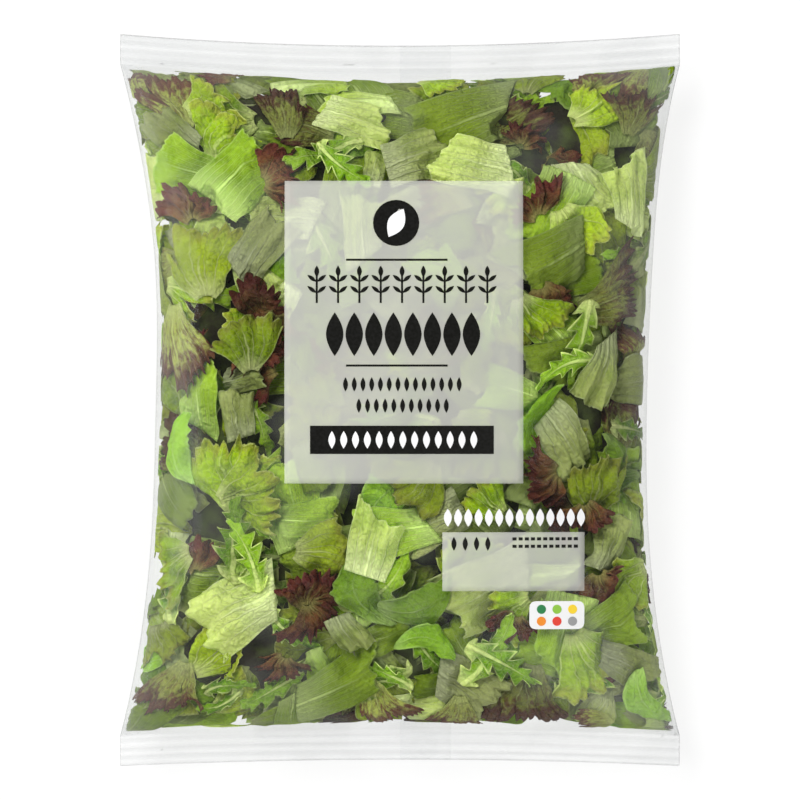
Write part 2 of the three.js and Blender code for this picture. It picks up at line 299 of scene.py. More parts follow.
class Shade:
    """Adds and links the nodes of one material, whose values are numbers, colours or sockets."""

    def __init__(self, name):
        """Starts a material without nodes."""
        self.material = bpy.data.materials.new(name)
        self.material.use_nodes = True
        self.tree = self.material.node_tree
        self.tree.nodes.clear()

    def feed(self, socket, value):
        """Links a socket to another's output, or gives it a number or a colour."""
        if isinstance(value, bpy.types.NodeSocket):
            self.tree.links.new(value, socket)
        elif isinstance(value, tuple) and len(value) == 3 and socket.type == "RGBA":
            socket.default_value = (*value, 1.0)
        else:
            socket.default_value = value

    def add(self, kind, settings=None, **inputs):
        """A new node with its settings, and its inputs by name, in which _ stands for a space."""
        node = self.tree.nodes.new(kind)
        for name, value in (settings or {}).items():
            setattr(node, name, value)
        for name, value in inputs.items():
            self.feed(node.inputs[name.replace("_", " ")], value)
        return node

    def bumped(self, height, strength, depth):
        """The direction of a surface with a relief on it."""
        return self.add("ShaderNodeBump", Height=height, Strength=strength, Distance=depth).outputs[0]

    def mix(self, share, first, second):
        """The first colour with a share of the second."""
        node = self.add("ShaderNodeMix", {"data_type": "RGBA"})
        for index, value in ((0, share), (6, first), (7, second)):
            self.feed(node.inputs[index], value)
        return node.outputs[2]

    def sum(self, how, first, second=0.0, third=0.0):
        """The result of one step of arithmetic."""
        node = self.add("ShaderNodeMath", {"operation": how})
        for socket, value in zip(node.inputs, (first, second, third)):
            self.feed(socket, value)
        return node.outputs[0]

    def wave(self, value):
        """Height of a sine wave over 0, which touches 0 once for each pi of the value."""
        return self.sum("ABSOLUTE", self.sum("SINE", value))

    def between(self, value, low, high, to_low=0.0, to_high=1.0):
        """A value eased from one range to another, and held at its ends."""
        node = self.add("ShaderNodeMapRange", {"interpolation_type": "SMOOTHSTEP"})
        for socket, number in zip(node.inputs, (value, low, high, to_low, to_high)):
            self.feed(socket, number)
        return node.outputs[0]

    def cloud(self, vector, scale, detail=2.0):
        """Soft noise round 0.5, with so many cells a metre."""
        node = self.add("ShaderNodeTexNoise", Vector=vector, Scale=scale, Detail=detail)
        return node.outputs["Fac"]

    def mixed_shader(self, share, first, second):
        """The first surface with a share of the second."""
        node = self.add("ShaderNodeMixShader")
        for socket, value in zip(node.inputs, (share, first, second)):
            self.feed(socket, value)
        return node.outputs[0]

    def done(self, shader):
        """The finished material with that surface."""
        out = self.add("ShaderNodeOutputMaterial")
        self.tree.links.new(shader, out.inputs["Surface"])
        return self.material


def leaf_veins(shade, look, place, across, along):
    """Ribs that fan out of the base, twigs off them, a midrib and fine lines, fading to the tip."""
    sideways = shade.sum("SUBTRACT", shade.cloud(place, 130.0), 0.5)
    swayed = shade.sum("MULTIPLY_ADD", sideways, look["sway"], across)
    turn = shade.sum("MULTIPLY", swayed, look["ribs"] * math.pi)
    off_rib = shade.wave(turn)
    narrow = shade.between(along, 0.0, 0.9, 0.5, 0.12)
    rib = shade.between(shade.sum("DIVIDE", off_rib, narrow), 1.0, 0.2)
    branch = shade.sum("MULTIPLY_ADD", off_rib, -0.16, along)
    comb = shade.wave(shade.sum("MULTIPLY", branch, TWIGS * math.pi))
    twig = shade.between(comb, 0.28, 0.0, 0.0, 0.5)
    middle = shade.sum("ABSOLUTE", shade.sum("SUBTRACT", swayed, 0.5))
    thin = shade.between(along, 0.0, 1.0, look["midrib"], look["midrib"] * 0.1)
    midrib = shade.between(shade.sum("DIVIDE", middle, thin), 1.0, 0.45)
    fine = shade.wave(shade.sum("MULTIPLY", turn, 3.0))
    fine = shade.between(fine, 0.45, 0.0, 0.0, look["fine_veins"])
    veins = shade.sum("MAXIMUM", shade.sum("MAXIMUM", rib, twig), midrib)
    fade = shade.between(along, 0.3, 1.0, 1.0, 0.3)
    return shade.sum("MULTIPLY", shade.sum("MAXIMUM", veins, fine), fade)


def leaf_colour(shade, look, place, across, along, tint, lines):
    """Colour from patches, sun, streaks, base, lines and rim, at each leaf's tone and painted shade."""
    tone_and_painted_shade, yellow, dice = shade.add("ShaderNodeSeparateColor", Color=tint).outputs
    patches = shade.between(shade.cloud(place, 120.0, 3.0), 0.36, 0.62)
    colour = shade.mix(patches, look["deep"], look["fresh"])

    def over(share, tone):
        """Lays a tone of the look over the colour so far."""
        return shade.mix(share, colour, look[tone])

    sunny = shade.sum("MULTIPLY_ADD", shade.between(along, 0.4, 1.0), 0.35, yellow)
    colour = over(shade.sum("MULTIPLY", sunny, look["sunny"]), "light")
    fleck_place = shade.add("ShaderNodeCombineXYZ", Z=dice)
    for socket, share, spread in zip(fleck_place.inputs, (across, along), FLECK_SPREAD):
        shade.feed(socket, shade.sum("MULTIPLY", share, spread))
    flecks = shade.cloud(fleck_place.outputs[0], 1.0, 3.0)
    streak = shade.between(shade.sum("MULTIPLY_ADD", along, 0.12, flecks), 0.5, 0.68)
    colour = over(shade.sum("MULTIPLY", streak, look["streaks"]), "rim")
    base = shade.between(along, look["base_end"], 0.0)
    colour = over(shade.sum("MULTIPLY", base, 0.85), "pale")
    for line, strength in lines:
        colour = over(shade.sum("MULTIPLY", line, strength), "pale")
    ragged = shade.sum("MULTIPLY_ADD", flecks, look["flecks"], along)
    rim = shade.between(ragged, look["rim_from"], look["rim_from"] + look["rim_soft"])
    colour = over(shade.sum("MULTIPLY", rim, look["rim_most"]), "rim")
    to_side = shade.sum("MINIMUM", across, shade.sum("SUBTRACT", 1.0, across))
    to_cut = shade.sum("MINIMUM", to_side, shade.sum("SUBTRACT", 1.0, along))
    colour = over(shade.between(to_cut, 0.03, 0.004, 0.0, look["cut_edge"]), "pale")
    # The tone channel is random, and deeper rounds cap it lower as painted shade
    value = shade.between(tone_and_painted_shade, 0.0, 1.0, *LEAF_VALUES)
    return shade.add(
        "ShaderNodeHueSaturation", Color=colour, Value=value, Saturation=LEAF_SATURATION
    ).outputs[0]


def leaf_material(name, look):
    """A moist leaf with veins, netting, blisters and small folds, and light coming through it."""
    shade = Shade(name)
    place = shade.add("ShaderNodeTexCoord").outputs["Object"]
    uv = shade.add("ShaderNodeUVMap", {"uv_map": "leaf"}).outputs[0]
    across, along, _ = shade.add("ShaderNodeSeparateXYZ", Vector=uv).outputs
    tint = shade.add("ShaderNodeAttribute", {"attribute_name": "tint"}).outputs["Color"]
    veins = leaf_veins(shade, look, place, across, along)
    net = shade.add(
        "ShaderNodeTexVoronoi", {"feature": "DISTANCE_TO_EDGE"}, Vector=place, Scale=look["net"]
    ).outputs["Distance"]
    lines = ((veins, look["vein"]), (shade.between(net, 0.1, 0.0), 0.15))
    colour = leaf_colour(shade, look, place, across, along, tint, lines)

    relief = shade.sum("MULTIPLY_ADD", veins, 0.9, shade.cloud(place, 520.0, 3.0))
    relief = shade.sum("MULTIPLY_ADD", net, look["blister"], relief)
    fold = shade.sum("ABSOLUTE", shade.sum("SUBTRACT", shade.cloud(place, 210.0), 0.5))
    relief = shade.sum("MULTIPLY_ADD", fold, look["folds"], relief)
    front = shade.add(
        "ShaderNodeBsdfPrincipled",
        Base_Color=colour,
        Roughness=0.4,
        Specular_IOR_Level=0.3,
        Normal=shade.bumped(relief, 0.9, LEAF_RELIEF),
    )
    through = shade.add("ShaderNodeHueSaturation", Color=colour, Saturation=1.1, Value=1.3)
    glow = shade.add("ShaderNodeBsdfTranslucent", Color=through.outputs[0])
    return shade.done(shade.mixed_shader(look["glow"], front.outputs[0], glow.outputs[0]))


def film_material(gloss, haze):
    """Clear film: see-through, glossier at a glancing angle, milky where it is creased or sealed.
    Its milk also holds painted light: sheen near the sides, crimp highlights, lifted lower seals.
    """
    shade = Shade("clear_film")
    place = shade.add("ShaderNodeTexCoord").outputs["Object"]
    haze_and_painted_light = shade.add("ShaderNodeAttribute", {"attribute_name": "haze_and_painted_light"}).outputs["Fac"]
    drift = shade.add("ShaderNodeAttribute", {"attribute_name": "drift"}).outputs["Fac"]
    # The milk attribute holds haze and painted light: sheen at the sides, crimp highlights, lifted
    # lower seals
    veil = shade.sum("MULTIPLY_ADD", drift, haze, haze_and_painted_light)
    clear = shade.add("ShaderNodeBsdfTransparent", Color=FILM_CLEAR)
    lit = shade.add("ShaderNodeBsdfDiffuse", Color=FILM_MILK)
    through = shade.add("ShaderNodeBsdfTranslucent", Color=FILM_MILK)
    milky = shade.mixed_shader(0.5, lit.outputs[0], through.outputs[0])
    wrinkles = shade.bumped(shade.cloud(place, 120.0), 0.4, FILM_RELIEF)
    shine = shade.add("ShaderNodeBsdfGlossy", Roughness=0.2, Normal=wrinkles)
    tilt = shade.add("ShaderNodeLayerWeight", Blend=0.5, Normal=wrinkles)
    steep = shade.sum("POWER", tilt.outputs["Facing"], 5.0)
    mirrored = shade.sum("MULTIPLY_ADD", steep, 0.96, FILM_REFLECTANCE)
    sheet = shade.mixed_shader(veil, clear.outputs[0], milky)
    glancing = shade.sum("MULTIPLY", mirrored, gloss)
    return shade.done(shade.mixed_shader(glancing, sheet, shine.outputs[0]))


def ink_material(name, colour, cover=1.0):
    """Printing ink on film, with the fine unevenness of its coat, over a share of the surface."""
    shade = Shade(name)
    place = shade.add("ShaderNodeTexCoord").outputs["Object"]
    coat = shade.between(shade.cloud(place, 900.0), 0.3, 0.7, 0.0, 0.01)
    tone = shade.mix(coat, colour, (0.5, 0.5, 0.5))
    ink = shade.add(
        "ShaderNodeBsdfPrincipled", Base_Color=tone, Roughness=0.38, Specular_IOR_Level=0.15
    )
    if cover >= 1:
        return shade.done(ink.outputs[0])
    clear = shade.add("ShaderNodeBsdfTransparent", Color=(1.0, 1.0, 1.0))
    return shade.done(shade.mixed_shader(cover, clear.outputs[0], ink.outputs[0]))


# Leaves


def wander(x, dice, waves):
    """A sum of sine waves with random phases, from pairs of their pace and their height."""
    return sum(high * np.sin(pace * x + dice.uniform(0, 2 * math.pi)) for pace, high in waves)


def crumple(across, along, dice, height):
    """Sharp low folds that cross a leaf in three directions, about 9 mm apart."""
    total = 0.0
    for _ in range(3):
        turn, phase = dice.uniform(0, math.pi), dice.uniform(0, math.pi)
        line = (across * math.cos(turn) + along * math.sin(turn)) / MM
        bow = 1.2 * np.sin((along * math.cos(turn) - across * math.sin(turn)) / MM / 7 + phase)
        pace = math.pi / dice.uniform(6.5, 12)
        total = total + np.abs(np.sin(pace * line + bow + phase)) - 0.64
    return height * total


def teeth(x, dice, count):
    """Uneven pointed teeth along a margin, from 0 to 1."""
    phase, swell = dice.uniform(0, 1), dice.uniform(0, 2 * math.pi)
    pace = count * (x + 0.09 * np.sin(7 * x + swell)) + phase
    rise = np.mod(pace, 1.0)
    point = np.where(rise < 0.6, rise / 0.6, (1 - rise) / 0.4)
    return point * (0.6 + 0.4 * np.sin(2.3 * np.floor(pace) + swell))


def fan_form(s, t, cut, dice):
    """A piece cut from a leaf: ribs fan out of its base and its far margin is ruffled and toothed."""
    phase, turn, shape = (dice.uniform(0, 2 * math.pi) for _ in range(3))
    outline = 1 + wander(s, dice, cut["lobes"])
    for _ in range(cut["tears"]):
        place = dice.uniform(-0.8, 0.8)
        outline = outline - dice.uniform(0.15, 0.4) * np.exp(-(((s - place) / 0.08) ** 2))
    slant = dice.uniform(-0.3, 0.3)
    grown = t * (1 + (outline - 1 + slant * s) * t)
    radius = cut["length"] * (cut["neck"] + (1 - cut["neck"]) * grown)
    margin = np.clip((t - 0.72) / 0.28, 0, 1)
    radius = radius + cut["tooth"] * margin * (teeth((s + 1) / 2, dice, cut["teeth"]) - 0.3)
    angle = cut["spread"] * (s + 0.1 * np.sin(5 * t + turn))
    arc = radius * angle
    ripple = cut["waves"] * math.pi * s + phase + 1.4 * np.sin(2.2 * s + shape)
    frill = cut["frill"] * t ** cut["frill_from"] * (0.75 + 0.25 * np.sin(3 * s + turn))
    height = frill * np.sin(ripple) + 0.4 * frill * np.sin(2.1 * ripple + 2 * t)
    curls = cut["curls"] * np.clip((t - 0.6) / 0.4, 0, 1) ** 1.5
    height = height + curls * np.sin(3.3 * ripple + shape)
    radius = radius + 0.6 * frill * np.cos(ripple) + 0.7 * curls * np.cos(3.3 * ripple + shape)
    pucker = np.abs(np.sin(cut["ribs"] * math.pi * (s + 1) / 2)) ** 0.7 - 0.5
    height = height + cut["pucker"] * pucker * np.sqrt(t)
    blister = np.sin(arc / MM + 1.5 * np.sin(radius / MM / 2.3 + phase))
    blister = blister * np.sin(radius / MM / 1.15 + turn) * np.minimum(1, 2.5 * t)
    height = height + cut["blister"] * blister
    across = radius * np.sin(angle)
    along = radius * np.cos(angle) - 0.62 * cut["length"]
    height = height + crumple(across, along, dice, cut["crumple"]) * np.minimum(1, 2 * t)
    return across, along, height


def cut_form(s, t, cut, dice):
    """A piece cut out of a broad leaf: straight sides, a soft fold, fine pleats, a torn far margin."""
    near, far = dice.uniform(0.5, 0.95), dice.uniform(0.75, 1.1)
    slant, skew = dice.uniform(-0.35, 0.35), dice.uniform(-0.35, 0.35)
    phase, turn = (dice.uniform(0, 2 * math.pi) for _ in range(2))
    half = cut["half_width"] * (near + (far - near) * t) * (1 + 0.04 * np.sin(8 * t + phase))
    across = half * s + skew * cut["length"] * (t - 0.5)
    along = cut["length"] * (t - 0.5) * (1 + slant * s)
    margin = np.clip((t - 0.6) / 0.4, 0, 1) ** 2
    along = along + margin * cut["length"] * wander(s, dice, cut["lobes"])
    along = along + margin * cut["tooth"] * teeth((s + 1) / 2, dice, cut["teeth"])
    tilt, offset = dice.uniform(-0.9, 0.9), dice.uniform(-0.4, 0.4) * cut["half_width"]
    off = across * math.cos(tilt) + along * math.sin(tilt) - offset
    soft = 1.5 * MM
    height = -cut["fold"] * dice.uniform(0.3, 1.0) * (np.sqrt(off**2 + soft**2) - soft)
    fan = 1 + 0.12 * np.sin(3 * t + turn)
    pleat = np.abs(np.sin(cut["ribs"] * math.pi * (s * fan + 1) / 2)) ** 0.7 - 0.5
    height = height + cut["pucker"] * pleat
    ripple = cut["waves"] * math.pi * s + phase
    height = height + cut["frill"] * t**cut["frill_from"] * np.sin(ripple + 1.5 * t)
    height = height + cut["curls"] * margin * np.sin(3.1 * ripple + turn)
    return across, along, height + crumple(across, along, dice, cut["crumple"])


def strip_form(s, t, cut, dice):
    """A toothed strip: a slim pale rib with pointed lobes on both sides, curled."""
    phase, turn, swell = (dice.uniform(0, 2 * math.pi) for _ in range(3))
    pace = cut["teeth"] * t + np.where(s < 0, turn, turn + 0.45)
    tooth = np.mod(pace, 1.0)
    point = np.where(tooth < 0.7, tooth / 0.7, (1 - tooth) / 0.3) ** 1.1
    point = point * (0.7 + 0.3 * np.sin(7 * np.floor(pace) + swell))
    envelope = np.sin(math.pi * np.clip(0.12 + 0.88 * t, 0, 1)) ** 0.6
    out = np.clip((np.abs(s) - 0.34) / 0.66, 0, 1)
    lobe = cut["lobe_length"] * (0.15 + 0.85 * point) * envelope * out
    stem = cut["stem"] * (1.15 - 0.75 * t) * np.minimum(np.abs(s) / 0.34, 1)
    across = np.sign(s) * (stem + lobe)
    along = cut["length"] * (t - 0.5) + 0.6 * lobe
    bend = dice.uniform(-1, 1) * cut["bend"]
    across = across + bend * cut["length"] * (t - 0.5) ** 2
    height = cut["frill"] * out * np.sin(cut["teeth"] * 2.2 * t + 2.0 * s + phase)
    height = height + cut["frill"] * out * out * np.sin(4.7 * pace + swell)
    return across, along, height - 0.6 * stem


def oval_form(s, t, cut, dice):
    """A smooth curved leaf, folded a little along its rib and toothed towards its tip."""
    phase, turn = (dice.uniform(0, 2 * math.pi) for _ in range(2))
    wide = np.sin(math.pi * np.clip(0.03 + 0.94 * t, 0, 1)) ** 0.75
    wavy = 1 + 0.1 * np.sin(7 * t + phase)
    jags = teeth(t + 0.07 * np.sign(s), dice, cut["teeth"]) - 0.3
    wavy = wavy + cut["tooth"] * jags * np.clip((t - 0.4) / 0.3, 0, 1)
    across = cut["half_width"] * wide * wavy * s
    along = cut["length"] * (t - 0.5)
    bend = cut["bend"] * (0.6 + 0.4 * abs(math.cos(turn))) * math.copysign(1, math.cos(turn))
    across = across + bend * cut["length"] * (t - 0.5) ** 2
    height = -cut["fold"] * np.abs(s) * wide
    height = height + cut["frill"] * s * s * np.sin(9 * t + phase + 2 * s)
    return across, along, height + crumple(across, along, dice, cut["crumple"])


def curled(across, along, height, roll, dice):
    """A leaf rolled round two crossing axes, mostly so that its margins turn down."""
    start = dice.uniform(-0.7, 0.7)
    for turn, share in ((start, 1.0), (start + math.pi / 2, 0.55)):
        bend = roll * share * dice.uniform(-0.3, 1.0)
        bend = math.copysign(max(abs(bend), 1.0), bend)
        cos, sin = math.cos(turn), math.sin(turn)
        out, rest = across * cos + along * sin, along * cos - across * sin
        far = 1 / bend + height
        out, height = far * np.sin(out * bend), far * np.cos(out * bend) - 1 / bend
        across, along = out * cos - rest * sin, out * sin + rest * cos
    return across, along, height


# How each kind is cut and bent. Lengths and heights are in metres, a fan's spread is half its
# angle, waves, ribs, tears and teeth are counts, roll is the most curvature, and grid is columns
# and rows. The fold of a cut piece is a slope, and the tooth of a smooth leaf a share of its width.
FAN = dict(
    form=fan_form, lobes=((2.2, 0.12), (4.7, 0.07), (10.3, 0.05)), tears=1, neck=0.18, teeth=12,
    tooth=1.4 * MM, frill_from=1.6, ribs=5, crumple=0.9 * MM, roll=62.0, grid=(44, 20),
)
PIECE = dict(
    form=cut_form, lobes=((2.2, 0.06), (4.7, 0.03), (10.3, 0.02)), teeth=9, tooth=1.1 * MM,
    frill_from=2.0, curls=0.35 * MM, crumple=0.4 * MM, roll=48.0, grid=(36, 24),
)
KINDS = {
    "curly": dict(
        FAN, length=25 * MM, spread=0.74, frill=2.9 * MM, waves=2.7, curls=1.4 * MM,
        pucker=1.1 * MM, blister=0.5 * MM,
    ),
    "blade": dict(
        PIECE, length=29 * MM, half_width=13 * MM, fold=0.6, frill=1.3 * MM, waves=1.5,
        ribs=9, pucker=0.45 * MM,
    ),
    "heart": dict(
        PIECE, length=27 * MM, half_width=12 * MM, fold=0.5, frill=2.2 * MM, waves=2.2,
        ribs=5, pucker=0.8 * MM, curls=0.7 * MM, crumple=0.6 * MM,
    ),
    "stalk": dict(
        PIECE, length=30 * MM, half_width=6.5 * MM, fold=0.5, frill=0.8 * MM, waves=1.3,
        ribs=3, pucker=0.8 * MM, grid=(18, 26),
    ),
    "lollo": dict(
        FAN, length=27 * MM, spread=0.55, teeth=19, tooth=1.1 * MM, frill_from=2.2,
        frill=2.0 * MM, waves=4.2, curls=1.5 * MM, ribs=6, pucker=0.9 * MM,
        blister=0.3 * MM, crumple=0.5 * MM, grid=(62, 20),
    ),
    "curl": dict(
        FAN, length=16 * MM, spread=1.2, lobes=((2.2, 0.14), (4.7, 0.1)), tears=2, teeth=21,
        tooth=1.3 * MM, frill_from=1.1, frill=3.4 * MM, waves=4.2, curls=2.0 * MM,
        pucker=0.9 * MM, blister=0.5 * MM, roll=90.0, grid=(66, 18),
    ),
    "frisee": dict(
        form=strip_form, length=36 * MM, stem=1.7 * MM, lobe_length=7.0 * MM, teeth=5,
        bend=0.9, frill=1.5 * MM, roll=50.0, grid=(10, 48),
    ),
    "smooth": dict(
        form=oval_form, length=31 * MM, half_width=7.5 * MM, teeth=7, tooth=0.5, bend=1.3,
        fold=2.2 * MM, frill=1.6 * MM, crumple=0.35 * MM, roll=65.0, grid=(16, 40),
    ),
}

# Colours and markings of each kind. Places along a leaf are shares of it from base to tip,
# midrib and sway are shares of its width, net is cells a metre, and the rest are strengths.
GREEN = dict(
    deep=(0.16, 0.28, 0.02), fresh=(0.34, 0.5, 0.04), light=(0.62, 0.74, 0.1),
    pale=(0.74, 0.8, 0.38), rim=(0.46, 0.6, 0.08), rim_from=1.2, rim_soft=0.3, rim_most=0.5,
    midrib=0.05, sway=0.1, flecks=0.5, streaks=0.0, cut_edge=0.5, vein=0.6, fine_veins=0.2,
    net=320.0, sunny=0.7, base_end=0.4, blister=2.0, folds=5.0, glow=0.4,
)
LOOKS = {
    "curly": dict(GREEN, rim=(0.32, 0.27, 0.08), rim_from=1.0, rim_soft=0.25),
    "blade": dict(
        GREEN, deep=(0.22, 0.36, 0.03), fresh=(0.34, 0.5, 0.05), light=(0.48, 0.64, 0.1),
        pale=(0.66, 0.78, 0.32), sway=0.03, vein=0.75, fine_veins=0.65, base_end=0.5,
        blister=0.6,
    ),
    "heart": dict(
        GREEN, deep=(0.39, 0.49, 0.12), fresh=(0.53, 0.61, 0.21), light=(0.63, 0.69, 0.29),
        pale=(0.7, 0.75, 0.46), rim=(0.5, 0.62, 0.12), fine_veins=0.35, sunny=0.8,
        base_end=0.6, blister=1.0,
    ),
    "stalk": dict(
        GREEN, deep=(0.26, 0.38, 0.05), fresh=(0.38, 0.5, 0.09), light=(0.56, 0.66, 0.16),
        pale=(0.7, 0.77, 0.42), midrib=0.3, sway=0.03, fine_veins=0.5, base_end=0.7,
        blister=0.4,
    ),
    "lollo": dict(
        GREEN, deep=(0.2, 0.22, 0.05), fresh=(0.33, 0.36, 0.09), light=(0.44, 0.5, 0.14),
        pale=(0.54, 0.6, 0.24), rim=(0.11, 0.038, 0.03), rim_from=0.88, rim_most=0.9,
        flecks=0.6, streaks=0.6, cut_edge=0.0, vein=0.65, sunny=0.5, glow=0.28,
    ),
    "curl": dict(
        GREEN, deep=(0.05, 0.018, 0.012), fresh=(0.15, 0.06, 0.03), light=(0.29, 0.15, 0.06),
        pale=(0.3, 0.28, 0.1), rim=(0.1, 0.022, 0.024), rim_from=0.75, rim_soft=0.4,
        rim_most=0.8, cut_edge=0.15, vein=0.35, sunny=0.5, glow=0.25,
    ),
    "frisee": dict(
        GREEN, deep=(0.11, 0.25, 0.02), fresh=(0.24, 0.43, 0.04), light=(0.46, 0.64, 0.09),
        midrib=0.16, sway=0.0, vein=0.75, sunny=0.55, base_end=0.25,
    ),
    "smooth": dict(
        GREEN, deep=(0.17, 0.33, 0.03), fresh=(0.27, 0.46, 0.05), light=(0.38, 0.58, 0.09),
        pale=(0.52, 0.68, 0.24), vein=0.5, fine_veins=0.35, sunny=0.6, base_end=0.3,
        blister=0.6,
    ),
}

SLOTS = {"heart": "pale_leaves", "lollo": "red_leaves", "curl": "red_leaves"}

# The pieces that show best on the front: kind, x and y in mm, turn of the tip in degrees, size
SHOWN = [
    ("lollo", -47, 113, 94, 1.0),
    ("lollo", -94, 117, 115, 1.1),
    ("curly", -78, 117, 25, 0.95),
    ("curly", -73, 103, 60, 1.05),
    ("heart", -93, 105, 150, 0.9),
    ("blade", -84, 90, 165, 1.05),
    ("blade", -66, 89, 55, 1.2),
    ("curl", -48, 88, 20, 1.2),
    ("curl", -85, 78, 100, 1.15),
    ("curly", -80, 56, 100, 1.45),
    ("heart", -57, 60, 40, 1.1),
    ("curl", -55, 39, 80, 1.1),
    ("curl", -52, 28, 250, 1.0),
    ("lollo", -90, 22, 280, 1.4),
    ("curly", -61, 22, 100, 1.0),
    ("heart", -19, 111, 350, 1.1),
    ("frisee", -31, 98, 200, 1.0),
    ("frisee", -24, 92, 320, 0.9),
    ("blade", 27, 110, 185, 1.35),
    ("curl", 52, 105, 60, 0.9),
    ("heart", 7, 96, 30, 1.05),
    ("heart", 31, 93, 170, 1.15),
    ("lollo", 79, 124, 80, 0.9),
    ("curly", 79, 117, 40, 1.0),
    ("lollo", 95, 114, 75, 0.95),
    ("curl", 67, 93, 330, 0.85),
    ("heart", 77, 84, 280, 0.95),
    ("heart", 92, 81, 90, 1.05),
    ("blade", 63, 77, 250, 1.15),
    ("curly", 72, 64, 300, 1.25),
    ("curl", 52, 78, 120, 1.1),
    ("blade", 63, 55, 210, 1.2),
    ("curl", 59, 37, 290, 1.25),
    ("lollo", 86, 39, 10, 1.3),
    ("curly", 53, 32, 300, 0.9),
    ("frisee", 72, 22, 260, 1.05),
    ("frisee", 66, 14, 200, 0.9),
    ("heart", 81, 12, 270, 1.0),
    ("curly", -69, -29, 95, 1.4),
    ("curly", -60, -36, 20, 1.2),
    ("heart", -66, -83, 190, 1.35),
    ("curl", -36, -74, 80, 1.3),
    ("curl", -33, -86, 300, 1.15),
    ("curl", -48, -106, 250, 0.9),
    ("blade", -26, -114, 10, 1.3),
    ("smooth", -18, -75, 105, 1.2),
    ("heart", -11, -57, 60, 0.95),
    ("smooth", -90, -20, 95, 1.0),
    ("curl", -83, -61, 100, 1.0),
    ("curly", -92, -64, 200, 0.95),
    ("lollo", -91, -114, 250, 1.1),
    ("frisee", -67, -55, 85, 1.1),
    ("frisee", -60, -60, 110, 0.95),
    ("heart", -21, -92, 300, 0.7),
    ("smooth", 54, -12, 95, 1.15),
    ("heart", 66, -16, 300, 1.1),
    ("curly", 80, -35, 90, 1.2),
    ("curl", 57, -31, 200, 1.1),
    ("curl", 75, -47, 280, 1.0),
    ("curl", 82, -75, 290, 1.15),
    ("heart", 36, -75, 200, 1.45),
    ("curly", 44, -83, 215, 0.85),
    ("curl", 45, -90, 250, 0.95),
    ("blade", 67, -91, 245, 1.15),
    ("blade", 86, -90, 20, 1.05),
    ("curly", 77, -102, 300, 1.2),
    ("heart", 93, -105, 330, 0.95),
    ("lollo", 53, -118, 265, 1.35),
    ("heart", 27, -114, 340, 1.05),
    ("lollo", 23, -125, 262, 0.9),
    ("smooth", 8, -82, 20, 1.1),
    ("smooth", 11, -93, 350, 0.9),
    ("smooth", 98, -120, 300, 1.0),
    ("frisee", 37, -100, 60, 1.1),
    ("frisee", 42, -104, 330, 1.0),
]

# Rounds of scattered leaves under them: how many, their least depth, how fine their grids are,
# their size, and how bright they can be, which darkens the deeper rounds as painted shade
ROUNDS = [
    {"count": 360, "depth": 0.0, "fine": 0.62, "size": 0.95, "tone_and_painted_shade": 1.0},
    {"count": 170, "depth": 4.0 * MM, "fine": 0.42, "size": 1.2, "tone_and_painted_shade": 0.6},
    {"count": 150, "depth": 11.0 * MM, "fine": 0.36, "size": 1.3, "tone_and_painted_shade": 0.3},
]
MIXTURE = dict(curly=28, blade=24, heart=12, stalk=8, lollo=9, curl=4, frisee=18, smooth=5)
PLASTIC_NUMBER = 1.3247179572  # its powers spread points evenly and never in rows
SHOWN_SIZE = 0.95
SHOWN_CURL_SIZE = 0.82
SHOWN_FINENESS = 1.15
BACK_FINENESS = 0.7  # of the grids of leaves that lie at the back
LEAST_SHOWING = 0.05  # share of a leaf that shows, under which it is left out
PRESSED = 0.45  # share of a leaf's height that the film presses flat
EDGE_SQUEEZE = 0.85  # how much flatter a leaf lies beside the edge of the bag
EDGE_REACH = 13 * MM


class Pile:
    """How deep behind the film the leaves laid so far reach, in square cells round the bag."""

    cell = 1.25 * MM
    steepest = 1.2  # slope at which the next leaf comes up again beside the one over it
    spreads = 4  # cells round a leaf over which that slope is followed

    def __init__(self):
        """Starts with bare film all round."""
        self.round = round(4 * HALF_GIRTH / self.cell)
        self.along = round(2 * RIDGE[-1] / self.cell) + 2
        self.depth = np.zeros((self.round, self.along))

    def cells(self, w, r, whole):
        """Places in cells, each passed through a function that may make it whole."""
        i, j = w / self.cell - 0.5, (r + RIDGE[-1]) / self.cell - 0.5
        i, j = whole(i), np.clip(whole(j), 0, self.along - 2)
        return i, j

    def over(self, w, r):
        """Depth that leaves over each place reach to."""
        i, j = self.cells(w, r, lambda n: n)
        row, column = np.floor(i).astype(int), np.floor(j).astype(int)
        a, b = i - row, j - column
        near, far = row % self.round, (row + 1) % self.round
        here = (1 - a) * ((1 - b) * self.depth[near, column] + b * self.depth[near, column + 1])
        return here + a * ((1 - b) * self.depth[far, column] + b * self.depth[far, column + 1])

    def lay(self, w, r, depth):
        """Adds a leaf, with a slope round it that the leaves below it follow."""
        row, column = self.cells(w, r, lambda n: np.round(n).astype(int))
        for i in (-1, 0, 1):
            for j in (-1, 0, 1):
                beside = np.clip(column + j, 0, self.along - 1)
                np.maximum.at(self.depth, ((row + i) % self.round, beside), depth)
        for _ in range(self.spreads):
            lower = self.depth - self.steepest * self.cell
            np.maximum(self.depth, np.roll(lower, 1, 0), out=self.depth)
            np.maximum(self.depth, np.roll(lower, -1, 0), out=self.depth)
            np.maximum(self.depth[:, 1:], lower[:, :-1], out=self.depth[:, 1:])
            np.maximum(self.depth[:, :-1], lower[:, 1:], out=self.depth[:, :-1])


